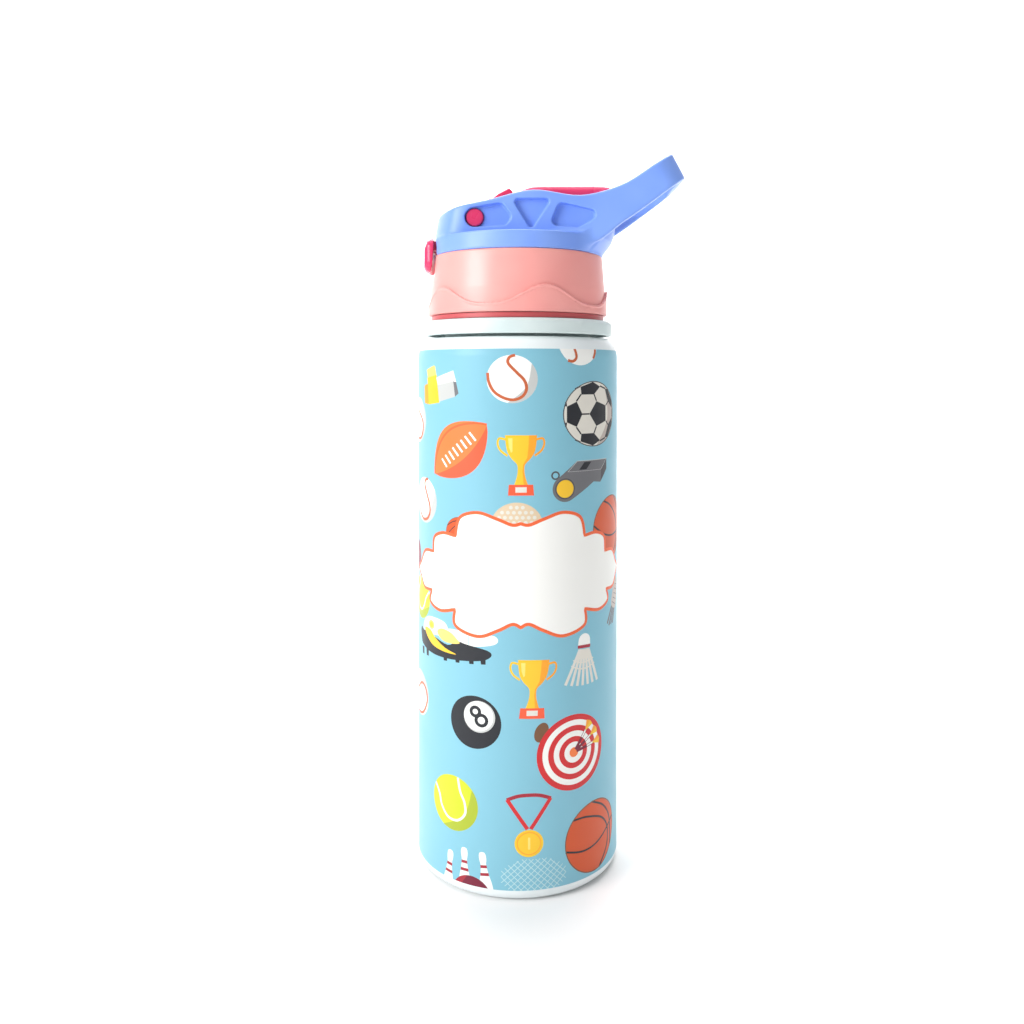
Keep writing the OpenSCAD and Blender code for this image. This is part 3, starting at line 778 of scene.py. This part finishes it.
def skin_radius(z):
    """Outer radius of the bottle at the heights that the print covers."""
    rise = np.maximum(np.asarray(z, float) - shoulder_z, 0)
    return body_r - shoulder_r + np.sqrt(shoulder_r ** 2 - rise ** 2)


def clip(points, axis, limit, keep_above):
    """The part of a polygon on one side of a line of constant s or z."""
    out = []
    for p, q in zip(points, points[1:] + points[:1]):
        p_in, q_in = ((w[axis] >= limit) == keep_above or w[axis] == limit for w in (p, q))
        if p_in:
            out.append(tuple(p))
        if p_in != q_in:
            t = (limit - p[axis]) / (q[axis] - p[axis])
            out.append(tuple(p[i] + t * (q[i] - p[i]) for i in (0, 1)))
    return out


def area(points):
    """Signed area of a polygon, positive when it runs counterclockwise."""
    return sum(p[0] * q[1] - q[0] * p[1] for p, q in zip(points, points[1:] + points[:1])) / 2


def flat_print():
    """The artwork as one flat sheet of triangles: points, triangles and the ink of each.

    A strip of bare coat, twice seam wide, is left at the back where the print's ends meet.
    """
    half, seam = math.pi * body_r, 0.5
    low, high = base_corner_r, wall_top
    names = list(INKS)
    sheet = [(seam - half, print_low), (half - seam, print_low),
             (half - seam, print_high), (seam - half, print_high)]
    shapes = [("sky", sheet)] + back_artwork() + front_artwork()
    points, faces, inks = [], [], []
    for ink, outline in shapes:
        outline = [tuple(float(v) for v in p) for p in outline]
        for axis, limit, above in ((1, print_low, True), (1, print_high, False),
                                   (0, seam - half, True), (0, half - seam, False)):
            if outline:
                outline = clip(outline, axis, limit, above)
        if len(outline) < 3 or abs(area(outline)) < 0.002:
            continue
        if area(outline) < 0:
            outline = outline[::-1]
        faces.append(list(range(len(points), len(points) + len(outline))))
        points += outline
        inks.append(names.index(ink))
    edges = []
    for i in range(columns + 1):
        s = -half + 2 * half * i / columns
        edges.append((len(points), len(points) + 1))
        points += [(s, low), (s, high)]
    for z in (low, shoulder_z, (shoulder_z + print_high) / 2, high):
        edges.append((len(points), len(points) + 1))
        points += [(-half, z), (half, z)]
    result = geometry.delaunay_2d_cdt(points, edges, faces, 0, 1e-4, True)
    verts, triangles, owners = np.array([tuple(v) for v in result[0]]), result[2], result[5]
    ink_of = [1 + inks[max(owner)] if owner else 0 for owner in owners]
    return verts, triangles, ink_of


def ring_rows(outline):
    """Quads of a full turn of an outline of (radius, height) points, as points and faces."""
    angles = 2 * math.pi * np.arange(columns) / columns
    outline = np.array(outline)
    verts = np.stack([outline[:, 0, None] * np.sin(angles), -outline[:, 0, None] * np.cos(angles),
                      np.broadcast_to(outline[:, 1, None], (len(outline), columns))], axis=-1)
    row = np.arange(columns)
    after = (row + 1) % columns
    quads = [np.stack([row, after, after + columns, row + columns], axis=1) + columns * i
             for i in range(len(outline) - 1)]
    return verts.reshape(-1, 3), np.concatenate(quads)


def bottle_outline(t):
    """Half section from the middle of the base to the neck, drawn t inside the skin."""
    foot_r = body_r - base_corner_r
    dome = 3
    centre = (body_r - shoulder_r, shoulder_z)
    reach = math.degrees(math.acos((shoulder_r - 3.3) / shoulder_r))
    base = [(0.01, dome + t), (foot_r - 9.5, dome + t)]
    step = fillet((0, dome + t), (foot_r - 8.5, dome + t), (foot_r - 5.5, t), 1)
    foot = fillet((foot_r - 8.5, dome + t), (foot_r - 5.5, t), (foot_r, t), 1)
    corner = arc((foot_r, base_corner_r), base_corner_r - t, -90, 0, 10)
    shoulder = arc(centre, shoulder_r - t, 0, reach, 14)
    neck_r = mouth_r + wall - t
    neck = fillet(shoulder[-1], (neck_r, lid_z - 0.8 - t), (neck_r, lid_z + 8), 0.6)
    return base[:1] + step + foot + corner, shoulder + neck


def bottle_body():
    """The aluminium bottle: printed wall, coated shoulder and base, bare inside."""
    lip_r = mouth_r + wall + 1.4
    top = lid_z + neck_top
    low_out, high_out = bottle_outline(0)
    low_in, high_in = bottle_outline(wall)
    shoulder = [p for p in high_out if p[1] > wall_top + 0.2]
    lip = ([(mouth_r + wall, top - 1.2)] + arc((lip_r - 0.4, top - 0.7), 0.4, -90, 0, 3)
           + arc((lip_r - 0.8, top - 0.8), 0.8, 0, 90, 5) + arc((mouth_r + 0.8, top - 0.8), 0.8, 90, 180, 5))
    above = [(float(skin_radius(wall_top)), wall_top)] + shoulder + lip
    within = [(mouth_r, top - 0.8)] + high_in[::-1] + low_in[::-1]
    verts, loops, sizes, slots = [], [], [], []
    flat, triangles, ink_of = flat_print()
    turn = flat[:, 0] / body_r
    radius = skin_radius(flat[:, 1])
    verts.append(np.stack([radius * np.sin(turn), -radius * np.cos(turn), flat[:, 1]], axis=1))
    lean = np.clip(flat[:, 1] - shoulder_z, 0, None) / shoulder_r
    flat_normals = np.stack([np.sin(turn) * np.sqrt(1 - lean ** 2),
                             -np.cos(turn) * np.sqrt(1 - lean ** 2), lean], axis=1)
    for triangle in triangles:
        loops += triangle
        sizes.append(len(triangle))
    slots += ink_of
    aluminium_slot = 1 + len(INKS)
    for outline, slot in ((low_out, 0), (above, 0), (within, aluminium_slot)):
        points, quads = ring_rows(outline)
        quads = quads + sum(len(v) for v in verts)
        verts.append(points)
        loops += quads.ravel().tolist()
        sizes += [4] * len(quads)
        slots += [slot] * len(quads)
    verts = np.concatenate(verts)
    normals = np.zeros_like(verts)
    normals[:len(flat_normals)] = flat_normals
    inks = [print_ink(name, colour) for name, colour in INKS.items()]
    body = make_piece("printed_bottle", verts, loops, sizes, [COAT] + inks + [ALUMINIUM], slots, normals)
    weld(body)
    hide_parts("bottle_shell")
    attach(body, "bottle")


def weld(piece):
    """Joins points that lie on each other, where a piece's zones meet."""
    tool = piece.modifiers.new("weld", "WELD")
    tool.merge_threshold = 0.002 * MM
    apply_modifiers(piece)


def apply_modifiers(piece):
    graph = bpy.context.evaluated_depsgraph_get()
    piece.data = bpy.data.meshes.new_from_object(piece.evaluated_get(graph))
    piece.modifiers.clear()


# ---- The lid ----
# Side views of the handle and the frame, as X and height above lid_z.

HANDLE_TIP = ((54.8, 64.4), (59.5, 55.6))
UPPER_EDGE = [(-25.3, 43.9), (-10.4, 46.9), (5.2, 50.4), (21.9, 48.5), (36.1, 52.2), (46.8, 58.8),
              HANDLE_TIP[0]]
LOWER_EDGE = [HANDLE_TIP[1], (43.5, 43.8), (36.3, 38.8), (29.2, 33.3), (22.1, 30.4)]


class Mirror:
    """A grid whose far side in Y repeats its near side."""

    def __init__(self, g):
        self.x, self.y, self.z, self.r = g.x, abs(g.y), g.z, g.r


def ribbon_end(g, end, half_w, corner):
    """The handle's ribbon seen square on, closed by a blunt rounded end."""
    tip_a, tip_b = HANDLE_TIP
    tilt = math.pi / 2 - math.atan2(tip_a[1] - tip_b[1], tip_b[0] - tip_a[0])
    mid_x, mid_z = (tip_a[0] + tip_b[0]) / 2, (tip_a[1] + tip_b[1]) / 2
    along = (g.x - mid_x) * math.cos(tilt) + (g.z - mid_z) * math.sin(tilt)
    du, dv = along - (end - corner), abs(g.y) - (half_w - corner)
    return (np.hypot(np.maximum(du, 0), np.maximum(dv, 0))
            + np.minimum(np.maximum(du, dv), 0) - corner)


def pad_outline(margin, low, high):
    """Outline of the button and of the space it moves in, as Y and height."""
    w = 9 + margin
    return rounded([(-w, low), (w, low), (w, high), (-w, high)], 3.5 + margin)


def window_outlines():
    tail = [(-16, 37.4), (-4, 38), (-1.8, 41), (-5.6, 45.8), (-15.6, 44.2)]
    front = arc(pivot, 3.4, 100, 266, 12)
    for i in (1, 2, 3):
        front += fillet(tail[i - 1], tail[i], tail[i + 1], 2.2)
    middle = rounded([(-2, 47.2), (4.7, 36.2), (11.9, 47.2)], 1.2)
    rear = rounded([(14.4, 46), (11, 38), (21.3, 37.2), (28.6, 41.4), (26, 43.4)], 2)
    return front, middle, rear


def frame_distance(g):
    """The frame: a round skirt, flat sides with three windows each, and the handle loop."""
    lean, foot, roof, roof_end, front_wall, ring_w = 0.173, ledge_z - 1.6, 1.8, -11.5, 2.2, 2.2
    side_points = ([(-31, foot)] + fillet((-31, ledge_z), (-29.8, 43), UPPER_EDGE[1], 2.5)
                   + spline(UPPER_EDGE) + spline(LOWER_EDGE) + [(16, foot)])
    side = polygon_distance(side_points, g.x, g.z)
    front = (g.r - frame_r + lean * (g.z - foot)) * math.cos(lean)
    front = np.where(g.x > 0, -7, np.minimum(front, 7))
    outer = common(ribbon_end(g, 0.4, flat_y, 10), front, 3)
    outer = common(outer, side, 0.9)
    below_roof = np.minimum(polygon_distance(side_points, g.x, g.z + roof), roof_end - g.x)
    well = common(ribbon_end(g, 0.4 - side_wall, inner_y, 6.6), front + front_wall, 1.5)
    well = common(well, below_roof, 0.6)
    walls = cut(outer, well, 0.7)
    ring = common(slab(g.r, frame_r - ring_w, frame_r), slab(g.z, base_top, ledge_z), 0.55)
    rear_gap = np.maximum(np.maximum(20 - g.x, abs(g.y) - inner_y), 30 - g.z)
    ring = cut(ring, rear_gap, 0.2)
    ledge = np.maximum(np.maximum(g.r - frame_r + 0.4, slab(g.z, foot, ledge_z)), inner_y - abs(g.y))
    housing = polygon_distance([(28.5, base_top), (frame_r, base_top), (31, 29.7), (34.2, 33.9),
                                (35.3, 37.3), (35.3, 41), (33.1, 41), (33.1, 37.7), (32, 35),
                                (28.5, 30.8)], g.r, g.z) - 0.15
    housing = common(housing, np.maximum(5 - g.x, abs(g.y) - inner_y - 1), 0.5)
    ribs = bar(Mirror(g), (3, inner_y - 1.2, 40.8), (23, inner_y + 1, 42.8), 0.3)
    solid = join(join(ring, ledge, 0), walls, 0.8 + 2 * np.clip((g.x - 6) / 10, 0, 1))
    solid = join(join(solid, housing, 0.6), ribs, 0.3)
    for outline in window_outlines():
        window = common(polygon_distance(outline, g.x, g.z), flat_y - 1.9 - abs(g.y), 0.5)
        solid = cut(solid, window, 0.45)
    solid = cut(solid, rod_y(g, pivot, 3.16, 10, flat_y + 5, 0), 0.15)
    solid = cut(solid, rod_y(g, hinge, 1.05, 10, inner_y + 1.9, 0), 0.1)
    notch = np.maximum(polygon_distance(pad_outline(0.5, 20, 35.8), g.y, g.z), g.x + 24)
    return cut(solid, notch, 0.5)


def wave_height(g):
    """Height of the skirt's wavy edge round the lid, with broad valleys and round crests."""
    low, high, crest, waves = 9.4, 15.7, math.radians(-72.4), 5
    angle = np.arctan2(g.y, g.x)
    return low + (high - low) * ((1 + np.cos(waves * (angle - crest))) / 2) ** 1.5


def base_distance(g):
    """The coral base: a round wall with a wavy skirt, the drinking deck and the button's pocket."""
    foot, base_r, inner_r, rim_r = 7.3, 32, 29.6, 28.7
    flare = np.where(g.z < 16, base_r - 0.1 * (g.z - foot) / 8.7,
                     base_r - 0.1 - (g.z - 16) / 12.8)
    wall_side = common(g.r - flare, slab(g.z, foot, base_top), 0.5)
    bowed = (wave_height(g) - g.z) * 0.7
    skirt = common(g.r - base_r - 0.7, -bowed, 0.45)
    skirt = common(skirt, foot - g.z, 0.35)
    bead = np.hypot(bowed + 0.3, g.r - base_r - 0.55) - 0.38
    solid = join(np.minimum(wall_side, skirt), bead, 0.15)
    solid = cut(solid, np.maximum(g.r - inner_r, g.z - deck_z[0]), 0.3)
    solid = cut(solid, np.maximum(g.r - rim_r, deck_z[1] - g.z), 0.4)
    pocket = np.maximum(polygon_distance(pad_outline(0.8, 19.5, base_top + 12), g.y, g.z), g.x + 20)
    pocket = np.maximum(pocket, 30.2 - g.r)
    solid = cut(solid, pocket, 0.4)
    solid = cut(solid, np.hypot(g.x - straw_x, g.y) - 5.4, 0.3)
    return cut(solid, np.hypot(g.x + 12, g.y) - 1.2, 0.3)


def button_distance(g):
    """The button: its pad, the rocker arms on their pins, and the latch hook."""
    m = Mirror(g)
    pad = common(polygon_distance(pad_outline(0, 23.1, 35.2), g.y, g.z), g.r - 34.4, 2.3)
    dish = 0.35 * np.clip(1 - (g.y / 6.5) ** 2 - ((g.z - 29.2) / 4.6) ** 2, 0, 1)
    swing = 0.087 * (pivot[1] - g.z)
    dome = 2.4 * np.clip((g.z - 30.5) / 4.7, 0, 1) ** 2
    pad = common(np.maximum(pad, g.r - 34.4 + dish + dome), 30.6 + swing - g.r, 0.2)
    pad = np.maximum(pad, g.x + 20)
    neck = bar(g, (-33, -6, 31), (-21, 6, 34.4), 0.4)
    solid = join(pad, neck, 0.6)
    solid = join(solid, bar(m, (-22.5, -1, 31), (-19.5, inner_y - 1, 34.4), 0.4), 0.5)
    solid = join(solid, bar(m, (-10.2, -1, 45), (-7, inner_y - 1, 48), 0.4), 0.5)
    arm = polygon_distance([(-22.5, 31), (-19.5, 31), (-12.5, 38.2), (-7, 43), (-7, 48), (-10.2, 48),
                            (-10.9, 43.7), (-18.2, 42.6), (-22.5, 35)], g.x, g.z)
    solid = join(solid, common(arm, slab(m.y, 13, inner_y - 1), 0.3), 0.3)
    pin = rod_y(g, pivot, 3.1, 13, flat_y - 0.9, 0.55)
    solid = join(solid, pin, 0.2)
    hook = polygon_distance([(-10.2, 45), (-7, 45), (-5.2, 49.6), (-1.8, 49.9), (-1.8, 52), (-3.1, 53.2),
                             (-7, 51.2), (-10.2, 48.5)], g.x, g.z)
    return join(solid, common(hook, abs(g.y) - 8, 0.6), 0.4)


def cover_distance(g):
    """The flip cover: a shallow hood with its lip in front and its hinge barrel behind."""
    cover_y, skin_t, top, corner = 16.2, 1.7, 52.8, 3
    side = polygon_distance([(-1.4, 47.2), (-1.4, 49), (0.4, 50.4), (5.2, 52.3), (9.7, 52.8), (28, 52.8),
                             (32.1, 52), (33.2, 50.4), (33.2, 48), (27, 45.4), (25, 43), (1, 43),
                             (0.6, 47.2)], g.x, g.z)
    across = common(abs(g.y) - cover_y, g.z - top, corner)
    solid = common(side, across, 0.6)
    hollow = polygon_distance([(0.4, 40), (0.4, 49), (5.6, 50.6), (9.7, 51.1), (26, 51.1), (26, 40)],
                              g.x, g.z)
    solid = cut(solid, common(hollow, abs(g.y) - cover_y + skin_t, 1.2), 0.3)
    reach = np.hypot(g.x - hinge[0], g.z - hinge[1])
    solid = join(solid, np.maximum(reach - 2.6, abs(g.y) - cover_y), 0.3)
    solid = cut(solid, reach - 1.08, 0)
    gap = np.minimum(reach - 3.2, np.maximum(slab(g.x, 25.9, 35.9), g.z - 48))
    return cut(solid, np.maximum(gap, abs(g.y) - 4.2), 0.2)


def mouthpiece_distance(g):
    """The soft mouthpiece: a flange and tube, the bend, and the flattened bite end."""
    x = g.x - straw_x
    r = np.hypot(x, g.y)
    tube_r = 5 - 0.6 * np.clip((g.z - 32.6) / 2.7, 0, 1)
    tube = common(r - tube_r, slab(g.z, 23.35, bend_z - 3), 0.3)
    flange = common(r - 8, slab(g.z, 23.35, deck_z[0] - 0.1), 0.3)
    solid = join(tube, flange, 0.8)
    rest = math.radians(10)
    up = g.z - bend_z
    along = -x * math.cos(rest) + up * math.sin(rest)
    over = x * math.sin(rest) + up * math.cos(rest)
    neck = np.sqrt(x * x + g.y ** 2 + up ** 2) - 4.2
    widen = np.clip((along - 6) / 6, 0, 1)
    widen = widen * widen * (3 - 2 * widen)
    half_y, half_z = 4.2 + 1.8 * widen, 4.2 - 1.1 * widen
    oval = (np.hypot(g.y / half_y, over / half_z) - 1) * half_z
    tip = common(oval, slab(along, 0, 15), 0.9)
    solid = join(join(solid, neck, 1.5), tip, 0.6)
    band = np.hypot(np.maximum(abs(along - 12.2) - 0.3, 0), oval) - 0.5
    solid = join(solid, band, 0.4)
    bore = np.minimum(np.hypot(g.y, over) - 1.9 + 100 * (along < -2), np.maximum(r - 2.2, up))
    return cut(solid, bore, 0.5)


def lid_piece(name, distance, low, high, step, material, body, slot_name, *nodes):
    """A moulded piece of the lid, drawn in heights above lid_z."""
    g = Grid(low, high, step)
    field = g.full(distance(g))
    piece = skin(name, field, g, material)
    piece.data.transform(Matrix.Translation((0, 0, lid_z * MM)))
    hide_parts(*nodes)
    if body:
        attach(piece, body)
    return piece


def lid_pieces():
    lid_piece("frame_and_handle", frame_distance, (-32, -32, 27.5), (61.5, 32, 66), 0.42, BLUE,
              "lid", "blue_plastic", "top_frame")
    lid_piece("coral_base", base_distance, (-34, -34, 6), (34, 34, 30), 0.42, CORAL,
              "lid", "coral_plastic", "lid_base")
    lid_piece("button_and_latch", button_distance, (-36, -20.5, 22), (-0.6, 20.5, 54.5), 0.32, MAGENTA,
              "button", "magenta_plastic", "release_button")
    lid_piece("hood", cover_distance, (-2.8, -17.5, 42), (34.5, 17.5, 54.2), 0.3, MAGENTA,
              "cover", "magenta_plastic", "flip_cover")
    mouthpiece = lid_piece("silicone_mouthpiece", mouthpiece_distance, (-6, -9.5, 22),
                           (20.5, 9.5, 49), 0.3, SILICONE, None, "silicone",
                           "mouthpiece_base", "mouthpiece_tip")
    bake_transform(mouthpiece)


def collar_piece():
    """The collar: a chamfered ring with a moulding seam on each side, and its threaded neck."""
    tube_in, neck_r, web, chamfer = mouth_r + wall + 0.05, 26.6, 1.8, 1
    outline = ([(tube_in, -0.75), (neck_r, -0.75), (neck_r, 5.2 - web), (collar_r - 2, 5.2 - web),
                (collar_r - 2, 0.2), (collar_r - 1.8, 0), (collar_r - 0.3, 0)]
               + arc((collar_r - 0.3, 0.3), 0.3, -90, 0, 3)
               + fillet((collar_r, 0), (collar_r, 5.2 - chamfer), (collar_r - chamfer, 5.2), 0.5, 4)
               + fillet((collar_r, 5.2 - chamfer), (collar_r - chamfer, 5.2), (neck_r, 5.2), 0.5, 4)
               + fillet((collar_r, 5.2), (neck_r, 5.2), (neck_r, 12), 0.5, 4)
               + [(neck_r, neck_top - 1.4), (neck_r - 0.4, neck_top - 1), (tube_in, neck_top - 1)])
    points, quads = ring_rows(outline + outline[:1])
    turn = np.degrees(np.arctan2(points[:, 0], -points[:, 1]))
    for seam in (39, -141):
        near = (abs(turn - seam) < 0.9) & (np.hypot(points[:, 0], points[:, 1]) > collar_r - 1.05)
        points[near, :2] *= 1 + 0.12 / collar_r
    ridge, ridge_quads = thread_ridge(neck_r - 0.25, neck_r + 1.2, 9.5)
    verts = np.concatenate([points, ridge])
    quads = np.concatenate([quads, ridge_quads + len(points)])
    verts[:, 2] += lid_z
    piece = make_piece("threaded_collar", verts, quads.ravel(), [4] * len(quads), [COLLAR])
    weld(piece)
    piece.data.set_sharp_from_angle(angle=math.radians(35))
    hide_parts("neck_collar")
    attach(piece, "bottle")


def thread_ridge(root_r, crest_r, z0):
    """A rounded ridge that climbs 4 mm a turn and fades away at both ends."""
    turns, pitch, per_turn = 1.5, 4, 90
    steps = int(turns * per_turn)
    verts = []
    for i in range(steps + 1):
        a = 2 * math.pi * turns * i / steps
        rise = min(1, (i + 1) / 10, (steps - i + 1) / 10)
        for along in np.linspace(-1, 1, 9):
            height = math.cos(along * math.pi / 2) ** 0.6 if abs(along) < 1 else 0
            r = root_r + (crest_r - root_r) * height * (0.35 + 0.65 * rise)
            verts.append((r * math.cos(a), r * math.sin(a), z0 + pitch * turns * i / steps + 0.9 * along))
    quads = [(9 * i + j, 9 * (i + 1) + j, 9 * (i + 1) + (j + 1) % 9, 9 * i + (j + 1) % 9)
             for i in range(steps) for j in range(9)]
    return np.array(verts), np.array(quads)


def finish_cad_nodes():
    """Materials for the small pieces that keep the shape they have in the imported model."""
    # The thread liner gets the coral plastic darkened as painted shade, for the shadowed gap under the skirt
    finishes = {"thread_liner": CORAL_IN_PAINTED_SHADE, "lid_gasket": SILICONE, "button_spring": STEEL,
                "cover_spring": STEEL, "cover_hinge_pin": STEEL, "vent_valve": SILICONE, "straw": STRAW}
    for name, mat in finishes.items():
        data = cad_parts[name].data
        data.materials.clear()
        data.materials.append(mat)


# ---- Camera, floor and light ----

def add_camera():
    """Stands before the bottle at the height of its shoulder, and looks a little down."""
    data = bpy.data.cameras.new("camera")
    data.sensor_width = 36
    data.lens = 33.26
    data.shift_x = -0.0056
    data.shift_y = -0.1198
    camera = bpy.data.objects.new("camera", data)
    camera.location = (0, -0.349, 0.176)
    camera.rotation_euler = (math.radians(90 - 0.88), 0, 0)
    bpy.context.collection.objects.link(camera)
    bpy.context.scene.camera = camera


def add_floor():
    """A pale floor that curves up into a backdrop."""
    mat, shader = node_material("pale_paper", (246, 246, 246), 0.8)
    vary_roughness(mat, shader, 0.75, 0.9, 8)
    add_grain(mat, shader, 0.05, 400, 0.2)
    side = [(-2200, 0)] + arc((1400, 700), 700, -90, 0, 24) + [(2100, 3200)]
    verts = [(x, y, z) for y, z in side for x in (-3500, 3500)]
    loops = [i for k in range(len(side) - 1) for i in (2 * k, 2 * k + 1, 2 * k + 3, 2 * k + 2)]
    make_piece("floor", verts, loops, [4] * (len(side) - 1), [mat])


def add_light(name, place_at, size, power, target=(0, 0, 0.13)):
    """A square soft light that faces a target, which is the middle of the bottle."""
    data = bpy.data.lights.new(name, "AREA")
    data.energy, data.size = power, size
    light = bpy.data.objects.new(name, data)
    bpy.context.collection.objects.link(light)
    aim = np.subtract(target, place_at)
    heading = math.atan2(aim[1], aim[0]) - math.pi / 2
    tilt = math.atan2(aim[2], math.hypot(aim[0], aim[1])) + math.pi / 2
    light.location = place_at
    light.rotation_euler = (tilt, 0, heading)


def add_lights():
    add_light("key", (-0.9, -0.6, 0.55), 0.55, 10.2)
    add_light("top", (-0.1, -0.1, 1.2), 0.9, 4)
    add_light("rim", (-0.6, 0.9, 0.5), 0.6, 1)
    add_light("backdrop", (0, 0.9, 1.9), 1.6, 70, (0, 2.1, 0.7))
    world = bpy.data.worlds.new("studio")
    bpy.context.scene.world = world
    world.use_nodes = True
    put(world.node_tree.nodes["Background"], {"Color": (1, 1, 1, 1), "Strength": 0.4})


add_camera()
bottle_body()
collar_piece()
lid_pieces()
finish_cad_nodes()
add_floor()
add_lights()
bpy.context.scene.view_settings.view_transform = "Standard"
